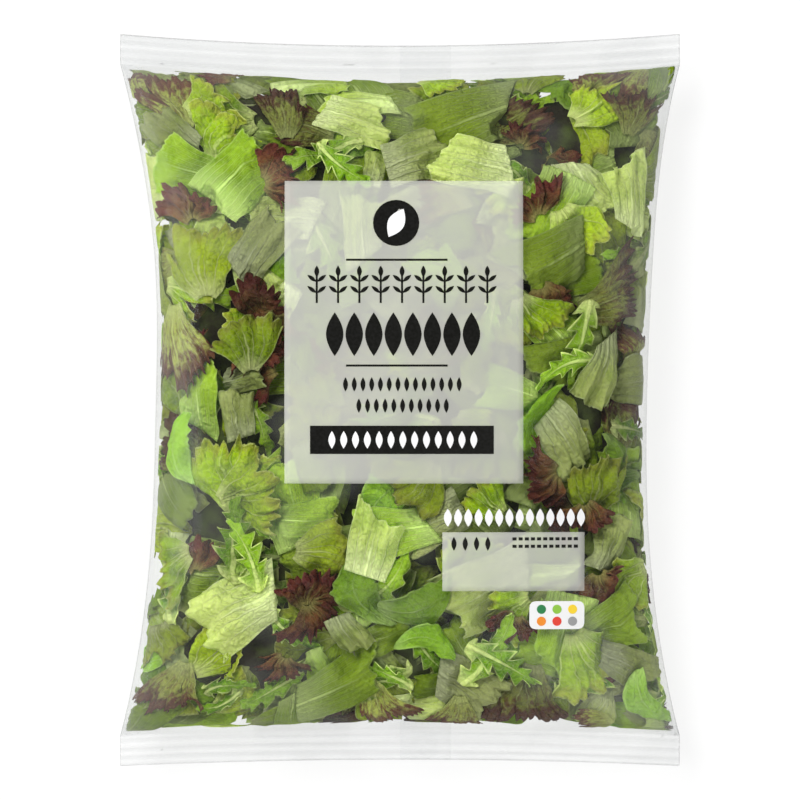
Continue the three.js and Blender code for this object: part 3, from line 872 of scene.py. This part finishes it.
def leaf_plan():
    """Every leaf of the bag from the film inwards: its kind, place, turn, size and depth."""
    dice = random.Random(SEED)
    for kind, x, y, turn, size in reversed(SHOWN):
        w, r = lengths_at(x * MM, y * MM)
        yield {
            "kind": kind,
            "w": w,
            "r": r,
            "turn": math.radians(turn),
            "size": size * (SHOWN_CURL_SIZE if kind == "curl" else SHOWN_SIZE),
            "depth": 0.0,
            "fine": SHOWN_FINENESS,
            "tone_and_painted_shade": 1.0,
            "dice": dice.random(),
        }
    names, weights = list(MIXTURE), list(MIXTURE.values())
    for layer in ROUNDS:
        for n in range(1, layer["count"] + 1):
            w = 4 * HALF_GIRTH * ((n / PLASTIC_NUMBER + 0.13) % 1) - 2 * HALF_GIRTH
            r = 2 * RIDGE[-1] * ((n / PLASTIC_NUMBER**2) % 1 - 0.5)
            yield {
                "kind": dice.choices(names, weights)[0],
                "w": w + dice.uniform(-5, 5) * MM,
                "r": r + dice.uniform(-4, 4) * MM,
                "turn": dice.uniform(0, 2 * math.pi),
                "size": layer["size"] * dice.uniform(0.6, 1.2),
                "depth": layer["depth"] + dice.uniform(0, 1.5) * MM,
                "fine": layer["fine"] * (1.0 if abs(w) < 1.2 * HALF_GIRTH else BACK_FINENESS),
                "tone_and_painted_shade": layer["tone_and_painted_shade"],
                "dice": dice.random(),
            }


def within_ends(r):
    """Lengths along the film, pressed together where a leaf would run into a seal."""
    limit = RIDGE[-1] - 0.5 * MM
    soft = limit - 5 * MM
    past = np.maximum(np.abs(r) - soft, 0)
    pressed = soft + (limit - soft) * (1 - np.exp(-past / (limit - soft)))
    return np.where(past > 0, np.sign(r) * pressed, r)


def leaf_places(leaf, pile):
    """Lays one leaf under the pile and gives the places of its grid, or None where it is hidden."""
    cut = KINDS[leaf["kind"]]
    columns, rows = leaf["grid"]
    s, t = np.meshgrid(np.linspace(-1, 1, columns + 1), np.linspace(0, 1, rows + 1))
    s, t = s.ravel(), t.ravel()
    dice = random.Random(leaf["dice"])
    across, along, height = cut["form"](s, t, cut, dice)
    across, along, height = curled(across, along, height, cut["roll"], dice)
    across, along = across * leaf["size"], along * leaf["size"]
    cos, sin = math.cos(leaf["turn"]), math.sin(leaf["turn"])
    w = leaf["w"] + along * cos - across * sin
    r = within_ends(leaf["r"] + along * sin + across * cos)
    to_side = np.abs(np.mod(w, 2 * HALF_GIRTH) - HALF_GIRTH)
    to_edge = np.minimum(to_side, RIDGE[-1] - np.abs(r))
    thinned = 1 - EDGE_SQUEEZE * np.exp(-((to_edge / EDGE_REACH) ** 2))
    own = leaf["depth"] + (1 - PRESSED) * height.max() - height
    own = thinned * (own + (1 - t) ** 1.3 * dice.uniform(0.0, 2.0) * MM)
    soft = 0.5 * MM
    own = LEAF_CLEARANCE + soft * np.logaddexp(0, own / soft)
    over = pile.over(w, r)
    if np.mean(own > over) < LEAST_SHOWING:
        return None
    depth = np.where(over > 0, np.maximum(own, over + LEAF_GAP), own)
    places, room = behind_film(w, r, depth)
    pile.lay(w, r, np.minimum(depth, room))
    return places


@functools.lru_cache(maxsize=1)
def laid_leaves():
    """All leaves of the bag, laid one under the other from the film inwards."""
    pile = Pile()
    leaves = []
    for leaf in leaf_plan():
        leaf["grid"] = tuple(max(5, round(leaf["fine"] * n)) for n in KINDS[leaf["kind"]]["grid"])
        leaf["places"] = leaf_places(leaf, pile)
        if leaf["places"] is not None:
            leaves.append(leaf)
    return leaves


def build_leaves(kind, glow, thickness):
    """All leaves of one kind as one piece."""
    bm = bmesh.new()
    bm.loops.layers.uv.new("leaf")
    tint = bm.verts.layers.float_color.new("tint")
    for leaf in laid_leaves():
        if leaf["kind"] != kind:
            continue
        columns, rows = leaf["grid"]
        new = bmesh.ops.create_grid(bm, x_segments=columns, y_segments=rows, calc_uvs=True)
        move_verts(new["verts"], leaf["places"])
        dice = random.Random(leaf["dice"] + 1)
        # Random tone of each leaf, capped by its round: the lower caps of deeper rounds are painted
        # shade
        own = (leaf["tone_and_painted_shade"] * dice.random(), dice.random() ** 1.5, dice.random(), 1.0)
        for vert in new["verts"]:
            vert[tint] = own
    look = {**LOOKS[kind], "glow": LOOKS[kind]["glow"] * glow}
    look["ribs"] = KINDS[kind].get("ribs", 1)
    piece = finished(f"{kind}_leaves", bm, leaf_material(f"{kind}_leaf", look))
    thicken(piece, thickness)
    SLOTS.get(kind, "leaves")
    return piece


def core_material():
    """Leaves too deep to make out: nearly black brown and green as painted shade, mottled."""
    shade = Shade("shaded_leaves")
    place = shade.add("ShaderNodeTexCoord").outputs["Object"]
    mottle = shade.cloud(place, 120.0, 4.0)
    colour = shade.mix(shade.between(mottle, 0.35, 0.7), CORE_SHADE_BROWN, CORE_SHADE_GREEN)
    leaf = shade.add(
        "ShaderNodeBsdfPrincipled",
        Base_Color=colour,
        Roughness=0.6,
        Normal=shade.bumped(mottle, 0.8, CORE_RELIEF),
    )
    return shade.done(leaf.outputs[0])


def build_core():
    """The tightly packed leaves in the heart of the bag, as one lumpy closed body painted dark as
    shade.
    """
    bm = bmesh.new()
    for side in (1, -1):
        new = bmesh.ops.create_grid(bm, x_segments=60, y_segments=70, size=1)
        verts = new["verts"]
        s, t = grid_shares(verts)
        w = s * HALF_GIRTH if side > 0 else 2 * HALF_GIRTH - s * HALF_GIRTH
        places, _ = behind_film(w, t * RIDGE[-1] * CORE_LENGTH, np.full(len(s), CORE_DEPTH))
        bumps = [noise.noise(Vector(place) * 90) for place in places]
        flat = np.minimum(1, 6 * (1 - np.maximum(np.abs(s), np.abs(t))))
        places[:, 2] += side * CORE_BUMP * np.array(bumps) * flat
        move_verts(verts, places)
    bmesh.ops.remove_doubles(bm, verts=bm.verts, dist=0.05 * MM)
    ends = [edge for edge in bm.edges if edge.is_boundary]
    bmesh.ops.holes_fill(bm, edges=ends)
    bmesh.ops.recalc_face_normals(bm, faces=bm.faces)
    piece = finished("shaded_core", bm, core_material())
    return piece


# Film


def crimp(out):
    """Ribs that the sealing jaws press into a seal, by the distance out from its inner edge."""
    return CRIMP_RISE * np.sin(2 * math.pi * out / CRIMP_PITCH) * np.clip(out / (0.5 * MM), 0, 1)


def film_sheet(u, p, side):
    """Places and milkiness of one film, whose share p runs over the body and both seals.
    Part of the milkiness is painted light.
    """
    body = HALF_BODY / (BAG_LENGTH / 2)
    v = np.clip(p / body, -1, 1)
    out = np.maximum(np.abs(p) - body, 0) * BAG_LENGTH / 2
    places = film_at(u, v, side)
    places[:, 1] += np.sign(p) * out
    places[:, 2] += crimp(out) - SEAL_DROOP * (out / SEAL_BAND) ** 1.5
    apart = np.where((np.abs(u) > AT_EDGE) | (np.abs(p) > AT_EDGE), 0, 1)
    places[:, 2] += side * FILM_GAP * apart
    creases, haze_and_painted_light = creased(places, u, v, out, side)
    lies = (side < 0) & (places[:, 2] <= REST_GAP * 1.5)
    places[:, 2] += np.where(lies, 0, side * creases * apart)
    return places, haze_and_painted_light


# Folds in the film: their height and how far they reach from their seal, corner or side, in mm
PLEAT = {"height": 0.8, "reach": 11}
RAY = {"height": 0.9, "reach": 34}
STREAK = {"height": 0.55, "reach": 13}
SOFT_WRINKLE = 0.3
SEALED_PLEAT = 0.2  # share of a pleat's height that is left within a seal
# Milkiness of the body of the film, and of a seal. At the sides of the body it is partly painted sheen;
# the lower seals' share is painted light that lifts them, and the rib share is partly a painted
# highlight
BODY_HAZE_AND_PAINTED_SHEEN = {"side": 0.12, "streak": 0.25, "seal": 0.1, "corner": 0.25}
SEAL_HAZE_AND_PAINTED_LIGHT = {"film": 0.25, "lower": -0.08, "rib": -0.17, "line": 0.12, "rim": 0.06}
HAZE_PACE = 17.0  # patches of haze a metre


def creased(places, u, v, out, side):
    """Heights and milkiness of pleats out of the seals, rays from corners and streaks at the sides.
    Part of the milkiness is painted light: sheen at the sides, crimp highlights, lifted lower seals.
    """
    heights, hazes_and_painted_lights = [], []
    half = SEAL_WIDTH / 2 / MM
    rim = 0.9 * SEAL_BAND / MM
    for (x, y, _), a, b, seal in zip(places, u, v, out / MM):
        x, y = x / MM, y / MM
        to_seal = HALF_BODY / MM * (1 - abs(b))
        to_end = half - abs(x)
        to_corner = math.hypot(to_end, to_seal)
        to_side = half * (1 - abs(a))
        pleat = noise.noise(Vector((x / 5.5, y / 45, 3.0 * side + (b > 0))))
        height = PLEAT["height"] * pleat * math.exp(-to_seal / PLEAT["reach"])
        height *= 1 if seal == 0 else SEALED_PLEAT
        ray = noise.noise(Vector((math.atan2(to_seal + 2, to_end + 2) * 9, b * 3, side * 2.0)))
        height += RAY["height"] * ray * math.exp(-to_corner / RAY["reach"]) * (seal == 0)
        streak = noise.noise(Vector((a * 60, y / 38, side * 5.0)))
        height += STREAK["height"] * streak * math.exp(-to_side / STREAK["reach"])
        height += SOFT_WRINKLE * noise.noise(Vector((x / 14, y / 17, side * 7.0)))
        if seal > 0:
            line = noise.noise(Vector((x / 60, seal / 1.1, b)))
            # Clear crests on the crimp ribs are partly pressed film and partly a painted highlight for
            # their gloss; the lower seals are made clearer as painted light where less light falls on
            # them
            rib = 0.5 + 0.5 * math.cos(2 * math.pi * seal * MM / CRIMP_PITCH)
            haze_and_painted_light = SEAL_HAZE_AND_PAINTED_LIGHT["film"] + SEAL_HAZE_AND_PAINTED_LIGHT["lower"] * (b < 0) + SEAL_HAZE_AND_PAINTED_LIGHT["rib"] * rib**2
            haze_and_painted_light += SEAL_HAZE_AND_PAINTED_LIGHT["line"] * line + SEAL_HAZE_AND_PAINTED_LIGHT["rim"] * (seal > rim)
        else:
            # Milk near the sides is partly haze of the side streaks and partly painted sheen of film
            # seen glancing
            haze_and_painted_light = BODY_HAZE_AND_PAINTED_SHEEN["side"] + BODY_HAZE_AND_PAINTED_SHEEN["streak"] * max(streak, 0)
            haze_and_painted_light *= math.exp(-to_side / 7)
            haze_and_painted_light += BODY_HAZE_AND_PAINTED_SHEEN["seal"] * math.exp(-to_seal / 4)
            haze_and_painted_light += BODY_HAZE_AND_PAINTED_SHEEN["corner"] * math.exp(-to_corner / 16)
        heights.append(height * MM)
        hazes_and_painted_lights.append(max(haze_and_painted_light, 0.0))
    return np.array(heights), hazes_and_painted_lights


def build_film(gloss, haze):
    """The tube of film: its front and back sheets, welded at the sides and free ends."""
    bm = bmesh.new()
    haze_and_painted_light = bm.verts.layers.float.new("haze_and_painted_light")
    drift = bm.verts.layers.float.new("drift")
    for side in (1, -1):
        new = bmesh.ops.create_grid(bm, x_segments=FILM_COLUMNS, y_segments=FILM_ROWS, size=1)
        verts = new["verts"]
        s, p = grid_shares(verts)
        u = np.sin(s * math.pi / 2) * 0.6 + s * 0.4
        u = np.where(np.abs(s) > AT_EDGE, np.sign(s), u)
        places, hazy_and_painted = film_sheet(u, p, side)
        move_verts(verts, places)
        for vert, amount in zip(verts, hazy_and_painted):
            vert[haze_and_painted_light] = amount
            patch = noise.fractal(vert.co * HAZE_PACE, 0.6, 2.0, 3)
            vert[drift] = min(max(3.5 * patch - 0.2, 0.0), 1.0)
        if side < 0:
            turned = list({face for vert in verts for face in vert.link_faces})
            bmesh.ops.reverse_faces(bm, faces=turned)
    bmesh.ops.remove_doubles(bm, verts=bm.verts, dist=0.002 * MM)
    piece = finished("film", bm, film_material(gloss, haze))
    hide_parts("bag")
    return piece


def build_seam(gloss, haze):
    """The back seam: a flap of film from end to end, folded flat under the bag."""
    bm = bmesh.new()
    haze_and_painted_light = bm.verts.layers.float.new("haze_and_painted_light")
    new = bmesh.ops.create_grid(bm, x_segments=SEAM_COLUMNS, y_segments=FILM_ROWS, size=1)
    verts = new["verts"]
    s, p = grid_shares(verts)
    x = (s + 1) / 2 * FIN_WIDTH
    v = np.clip(p * BAG_LENGTH / 2 / HALF_BODY, -1, 1)
    places, hazy_and_painted = film_sheet((x - side_shift(v)) / half_width(v), p, -1)
    places[:, 0] = x
    places[:, 2] -= REST_GAP / 2
    move_verts(verts, places)
    for vert, amount in zip(verts, hazy_and_painted):
        vert[haze_and_painted_light] = 0.12 * amount
    piece = finished("back_seam", bm, film_material(gloss, haze))
    thicken(piece, SEAM_THICKNESS)
    return piece


# Print, with its places in mm from the middle of the front

# Left, right, low and high sides of its boxes
PANEL = (-45, 48, -32.5, 85.5)
SMALL_PANEL = (16.5, 72, -74.5, -51.5)
BAR = (-35, 36.5, -21, -10)
TAG = (50.5, 72, -89.5, -78.5)
TAG_CORNER = 2.4
RULES = [(-21, 18.5, low, low + 0.8) for low in (54.2, 13.0)]
DISC = (-1.5, 69)
DISC_RADIUS = 9
# Rows of upright leaf marks: the first one's place, their pitch and count, length and width
DARK_ROWS = [
    (-25.4, 25.6, 7.6, 8, 17, 6.8),
    (-21.2, 6.1, 3.4, 14, 5.6, 1.9),
    (-16, -2.2, 3.4, 11, 5.6, 1.9),
    (21, -56, 4.4, 4, 5.4, 2),
]
WHITE_ROWS = [
    (-26.5, -15.5, 4.6, 13, 6.8, 2.7),
    (18.6, -45.8, 4.0, 14, 7, 3.1),
]
SPRIGS = {"x": -32.4, "y": 45, "pitch": 8.3, "count": 9, "height": 14.5}
DASHES = {"x": 43.8, "pitch": 2.4, "count": 11, "width": 1.6, "height": 1.2, "low": (-54.7, -57.6)}
DOTS = {
    "dark_green": (0.02, 0.2, 0.06),
    "lime": (0.25, 0.5, 0.05),
    "yellow": (0.85, 0.6, 0.03),
    "orange": (0.8, 0.25, 0.02),
    "red": (0.7, 0.05, 0.03),
    "grey": (0.3, 0.3, 0.3),
}
FIRST_DOT = (55.2, -81.7)
DOT_STEPS = (6.1, 4.7)
DOT_RADIUS = 1.8
VEIL_INK = (0.93, 0.935, 0.86)


def on_film(x, y, lift):
    """Places on the creased front film over (x, y), raised a little."""
    u, v = front_shares(x, y)
    places, _ = film_sheet(u, v * HALF_BODY / (BAG_LENGTH / 2), 1)
    places[:, 0], places[:, 1] = x, y
    places[:, 2] += lift
    return places


def add_field(bm, left, right, low, high, cell=2.5, corner=0.0):
    """A printed box, in mm, as a grid in the plane, with its corners rounded."""
    columns = max(1, round((right - left) / cell))
    rows = max(1, round((high - low) / cell))
    verts = bmesh.ops.create_grid(bm, x_segments=columns, y_segments=rows, size=0.5)["verts"]
    bmesh.ops.scale(bm, vec=(right - left, high - low, 1), verts=verts)
    for vert in verts:
        past_x = abs(vert.co.x) - ((right - left) / 2 - corner)
        past_y = abs(vert.co.y) - ((high - low) / 2 - corner)
        if min(past_x, past_y) > 0:
            pull = 1 - max(past_x, past_y) / math.hypot(past_x, past_y)
            vert.co.x -= math.copysign(past_x * pull, vert.co.x)
            vert.co.y -= math.copysign(past_y * pull, vert.co.y)
    bmesh.ops.translate(bm, vec=((left + right) / 2, (low + high) / 2, 0), verts=verts)


def add_disc(bm, x, y, radius, sides=32):
    """A printed round, in mm."""
    new = bmesh.ops.create_circle(bm, cap_ends=True, cap_tris=True, radius=radius, segments=sides)
    bmesh.ops.translate(bm, vec=(x, y, 0), verts=new["verts"])


def add_leaf_mark(bm, x, y, length, width, turn=90.0):
    """A printed plain leaf, in mm: an oval that comes to a point at both ends."""
    columns, rows = 4, 14
    verts = bmesh.ops.create_grid(bm, x_segments=columns, y_segments=rows, size=1)["verts"]
    angle = math.radians(turn)
    for vert in verts:
        s, t = vert.co.x, vert.co.y
        across = s * width / 2 * max(1 - abs(t) ** 1.8, 0.0)
        along = t * length / 2
        vert.co.x = x + along * math.cos(angle) - across * math.sin(angle)
        vert.co.y = y + along * math.sin(angle) + across * math.cos(angle)
    bmesh.ops.remove_doubles(bm, verts=verts, dist=0.001)


def print_piece(name, bm, material, level, smooth=False):
    """Lays a flat drawing in mm on the film, as one of its coats of ink from the film up."""
    flat = np.array([vert.co[:2] for vert in bm.verts]) * MM
    places = on_film(flat[:, 0], flat[:, 1], INK_LIFT * level)
    move_verts(bm.verts, places)
    piece = finished(name, bm, material, smooth)
    thicken(piece, INK_THICKNESS)
    return piece


def add_row(bm, x, y, pitch, count, length, width):
    """A printed row of upright leaves, in mm, from the place of the first."""
    for n in range(count):
        add_leaf_mark(bm, x + n * pitch, y, length, width)


def add_sprig(bm, x, y, height):
    """A printed sprig, in mm: a thin stem with a bud and two pairs of leaves."""
    add_field(bm, x - 0.4, x + 0.4, y - height / 2, y + height / 2 - 3, 1.5)
    add_leaf_mark(bm, x, y + height / 2 - 2.2, 4.6, 1.9)
    for level in (0.28, 0.58):
        for side in (-1, 1):
            leaf_y = y - height / 2 + level * height
            add_leaf_mark(bm, x + side * 1.9, leaf_y + 1.2, 4.4, 1.5, 90 - side * 52)


def build_veils(cover):
    """The two half-clear panels, whose ink covers a share of the film under it."""
    bm = bmesh.new()
    add_field(bm, *PANEL)
    add_field(bm, *SMALL_PANEL)
    ink = ink_material("veil_ink", VEIL_INK, cover)
    veils = print_piece("veil_print", bm, ink, 1, smooth=True)
    carrier = Shade("veil_carrier")
    clear = carrier.add("ShaderNodeBsdfTransparent", Color=(1.0, 1.0, 1.0))
    veils.data.materials.append(carrier.done(clear.outputs[0]))
    veils.modifiers["thickness"].material_offset = 1
    veils.modifiers["thickness"].material_offset_rim = 1


def build_dark_print(colour):
    """The disc, rules, sprigs, leaf marks, bar and dashes in dark ink."""
    bm = bmesh.new()
    add_disc(bm, *DISC, DISC_RADIUS)
    for rule in RULES:
        add_field(bm, *rule)
    for n in range(SPRIGS["count"]):
        add_sprig(bm, SPRIGS["x"] + n * SPRIGS["pitch"], SPRIGS["y"], SPRIGS["height"])
    for row in DARK_ROWS:
        add_row(bm, *row)
    add_field(bm, *BAR)
    for low in DASHES["low"]:
        for n in range(DASHES["count"]):
            left = DASHES["x"] + n * DASHES["pitch"]
            add_field(bm, left, left + DASHES["width"], low, low + DASHES["height"])
    print_piece("dark_print", bm, ink_material("dark_ink", colour), 2)


def build_white_print(colour):
    """The leaf on the disc, the leaf marks and the tag in white ink."""
    bm = bmesh.new()
    add_leaf_mark(bm, *DISC, 12.5, 6.6, 62)
    for row in WHITE_ROWS:
        add_row(bm, *row)
    add_field(bm, *TAG, 1.2, TAG_CORNER)
    print_piece("white_print", bm, ink_material("white_ink", colour), 3)


def build_dots():
    """The coloured dots on the tag, in two rows of three."""
    for n, (name, colour) in enumerate(DOTS.items()):
        bm = bmesh.new()
        x = FIRST_DOT[0] + n % 3 * DOT_STEPS[0]
        y = FIRST_DOT[1] - n // 3 * DOT_STEPS[1]
        add_disc(bm, x, y, DOT_RADIUS, 24)
        print_piece(f"dot_{name}", bm, ink_material(f"dot_ink_{name}", colour), 4)


# Stage

PIXELS_ACROSS = 800  # of the photo
PIXELS_A_MM = 2.545
VIEW_SPAN = PIXELS_ACROSS / PIXELS_A_MM * MM  # width of the picture at the level of the seals
VIEW_DISTANCE = 4.0
SENSOR = 36.0
LIGHTS_AIM = (0, 0, 0.03)
# Square soft lights, with their share of the power and whether the bag mirrors them
SOFTBOXES = {
    "key": {"place": (-0.65, 0.75, 1.4), "size": 0.7, "share": 1.0, "mirrored": False},
    "fill": {"place": (0.7, -1.05, 1.2), "size": 1.4, "share": 0.5, "mirrored": True},
    "side": {"place": (-1.5, 0.1, 0.4), "size": 0.7, "share": 0.25, "mirrored": True},
}


def build_floor(colour, glow):
    """A wide matt floor that gives off some light itself."""
    bm = bmesh.new()
    bmesh.ops.create_grid(bm, x_segments=2, y_segments=2, size=3.0)
    mesh = bpy.data.meshes.new("floor")
    bm.to_mesh(mesh)
    bm.free()
    floor = bpy.data.objects.new("floor", mesh)
    bpy.context.scene.collection.objects.link(floor)
    shade = Shade("pale_floor")
    matt = shade.add("ShaderNodeBsdfDiffuse", Color=tuple(colour))
    light = shade.add("ShaderNodeEmission", Color=(1.0, 1.0, 1.0), Strength=glow)
    both = shade.add("ShaderNodeAddShader")
    for socket, part in zip(both.inputs, (matt, light)):
        shade.feed(socket, part.outputs[0])
    mesh.materials.append(shade.done(both.outputs[0]))
    floor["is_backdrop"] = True


def add_softbox(name, box, power):
    """A soft light that faces the bag, at its share of the power."""
    data = bpy.data.lights.new(name, "AREA")
    data.shape = "SQUARE"
    data.size = box["size"]
    data.energy = power * box["share"]
    lamp = bpy.data.objects.new(name, data)
    lamp.location = box["place"]
    aim = Vector(LIGHTS_AIM) - Vector(box["place"])
    lamp.rotation_euler = aim.to_track_quat("-Z", "Y").to_euler()
    lamp.visible_glossy = box["mirrored"]
    bpy.context.scene.collection.objects.link(lamp)


def build_camera():
    """A camera straight over the bag, which sees it as the photo does."""
    data = bpy.data.cameras.new("camera")
    data.sensor_width = SENSOR
    data.lens = SENSOR * (VIEW_DISTANCE - SEAL_LEVEL) / VIEW_SPAN
    data.clip_start = 0.05
    data.clip_end = 20
    camera = bpy.data.objects.new("camera", data)
    camera.location = (0, 0, VIEW_DISTANCE)
    bpy.context.scene.collection.objects.link(camera)
    bpy.context.scene.camera = camera


def build_world(strength):
    """White light from the whole room, at full strength from the sides and another from above."""
    world = bpy.data.worlds.new("studio")
    world.use_nodes = True
    background = world.node_tree.nodes["Background"]
    background.inputs["Color"].default_value = (1.0, 1.0, 1.0, 1.0)
    tree = world.node_tree
    sky = tree.nodes.new("ShaderNodeTexCoord")
    parts = tree.nodes.new("ShaderNodeSeparateXYZ")
    fade = tree.nodes.new("ShaderNodeMapRange")
    tree.links.new(sky.outputs["Generated"], parts.inputs[0])
    tree.links.new(parts.outputs["Z"], fade.inputs["Value"])
    for name, value in (("From Min", 0.0), ("From Max", 0.4), ("To Min", 1.0), ("To Max", strength)):
        fade.inputs[name].default_value = value
    tree.links.new(fade.outputs[0], background.inputs["Strength"])
    bpy.context.scene.world = world


# Settings, operators and panel


class SaladStageSettings(bpy.types.PropertyGroup):
    """Colour of the floor and strength of the lights."""

    floor: bpy.props.FloatVectorProperty(
        name="Floor", description="Colour of the floor", subtype="COLOR", default=(0.2, 0.2, 0.2)
    )
    floor_glow: bpy.props.FloatProperty(
        name="Floor glow", description="Light that the floor gives off itself", default=0.8
    )
    world: bpy.props.FloatProperty(
        name="Room light", description="Strength of the light from straight above", default=0.32
    )
    softbox: bpy.props.FloatProperty(
        name="Softbox", description="Power of the key light", unit="POWER", default=24.0
    )


class SaladFilmSettings(bpy.types.PropertyGroup):
    """Finish of the film."""

    gloss: bpy.props.FloatProperty(
        name="Gloss",
        description="Share of a real film's reflections",
        subtype="FACTOR",
        default=0.5,
    )
    haze: bpy.props.FloatProperty(
        name="Haze",
        description="Milkiness of the clouded patches",
        subtype="FACTOR",
        default=0.08,
    )


class SaladLeafSettings(bpy.types.PropertyGroup):
    """Thickness and light of the leaves."""

    thickness: bpy.props.FloatProperty(
        name="Thickness",
        description="Thickness of a leaf",
        unit="LENGTH",
        precision=5,
        default=LEAF_THICKNESS,
    )
    glow: bpy.props.FloatProperty(
        name="Light through leaves", description="Share of light that passes", default=1.0
    )


class SaladPrintSettings(bpy.types.PropertyGroup):
    """Colours of the print."""

    dark: bpy.props.FloatVectorProperty(
        name="Dark ink",
        description="Colour of the dark ink",
        subtype="COLOR",
        default=(0.005, 0.005, 0.004),
    )
    white: bpy.props.FloatVectorProperty(
        name="White ink",
        description="Colour of the white ink",
        subtype="COLOR",
        default=(0.8, 0.8, 0.8),
    )
    cover: bpy.props.FloatProperty(
        name="Veil",
        description="How much the half-clear ink covers",
        subtype="FACTOR",
        default=0.41,
    )


class SALAD_OT_stage(bpy.types.Operator):
    """Builds the floor, lights and camera."""

    bl_idname = "salad.stage"
    bl_label = "Stage"

    def execute(self, context):
        settings = context.scene.salad_stage
        context.scene.view_settings.view_transform = "Standard"
        build_camera()
        build_world(settings.world)
        build_floor(settings.floor, settings.floor_glow)
        for name, box in SOFTBOXES.items():
            add_softbox(name, box, settings.softbox)
        return {"FINISHED"}


class SALAD_OT_core(bpy.types.Operator):
    """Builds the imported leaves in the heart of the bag."""

    bl_idname = "salad.core"
    bl_label = "Shaded core"

    def execute(self, context):
        build_core()
        return {"FINISHED"}


class SALAD_OT_leaves(bpy.types.Operator):
    """Builds the leaves of one kind."""

    bl_idname = "salad.leaves"
    bl_label = "Leaves"
    kind: bpy.props.StringProperty(name="Kind", description="Kind of leaf", default="curly")

    def execute(self, context):
        settings = context.scene.salad_leaves
        build_leaves(self.kind, settings.glow, settings.thickness)
        return {"FINISHED"}


class SALAD_OT_film(bpy.types.Operator):
    """Builds the film of the bag."""

    bl_idname = "salad.film"
    bl_label = "Film"

    def execute(self, context):
        settings = context.scene.salad_film
        build_film(settings.gloss, settings.haze)
        build_seam(settings.gloss, settings.haze)
        return {"FINISHED"}


class SALAD_OT_print(bpy.types.Operator):
    """Builds the print on the front."""

    bl_idname = "salad.print"
    bl_label = "Print"

    def execute(self, context):
        settings = context.scene.salad_print
        build_veils(settings.cover)
        build_dark_print(tuple(settings.dark))
        build_white_print(tuple(settings.white))
        build_dots()
        return {"FINISHED"}


class SALAD_PT_panel(bpy.types.Panel):
    """Lists the steps that build the bag."""

    bl_label = "Salad Bag"
    bl_idname = "SALAD_PT_panel"
    bl_space_type = "VIEW_3D"
    bl_region_type = "UI"
    bl_category = "Salad Bag"

    def draw(self, context):
        for group in ("salad_stage", "salad_film", "salad_leaves", "salad_print"):
            settings = getattr(context.scene, group)
            for name in settings.__annotations__:
                self.layout.prop(settings, name)
        for step in ("salad.stage", "salad.core", "salad.film", "salad.print"):
            self.layout.operator(step)
        for kind in KINDS:
            self.layout.operator("salad.leaves", text=kind).kind = kind


GROUPS = {
    "salad_stage": SaladStageSettings,
    "salad_film": SaladFilmSettings,
    "salad_leaves": SaladLeafSettings,
    "salad_print": SaladPrintSettings,
}
CLASSES = [
    *GROUPS.values(),
    SALAD_OT_stage,
    SALAD_OT_core,
    SALAD_OT_leaves,
    SALAD_OT_film,
    SALAD_OT_print,
    SALAD_PT_panel,
]


def register():
    """Registers the classes and hangs their settings on the scene."""
    for cls in CLASSES:
        bpy.utils.register_class(cls)
    for name, group in GROUPS.items():
        setattr(bpy.types.Scene, name, bpy.props.PointerProperty(type=group))


def unregister():
    """Undoes what register does."""
    for name in GROUPS:
        delattr(bpy.types.Scene, name)
    for cls in reversed(CLASSES):
        bpy.utils.unregister_class(cls)


def main():
    """Builds the stage and the bag from the inside out."""
    register()
    bpy.ops.salad.stage()
    bpy.ops.salad.core()
    for kind in KINDS:
        bpy.ops.salad.leaves(kind=kind)
    bpy.ops.salad.film()
    bpy.ops.salad.print()
    boxes = {"cad": CAD_BOX, "visual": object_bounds()}
    sizes = {name: [list(corner) for corner in box] for name, box in boxes.items()}


if __name__ == "__main__":
    main()
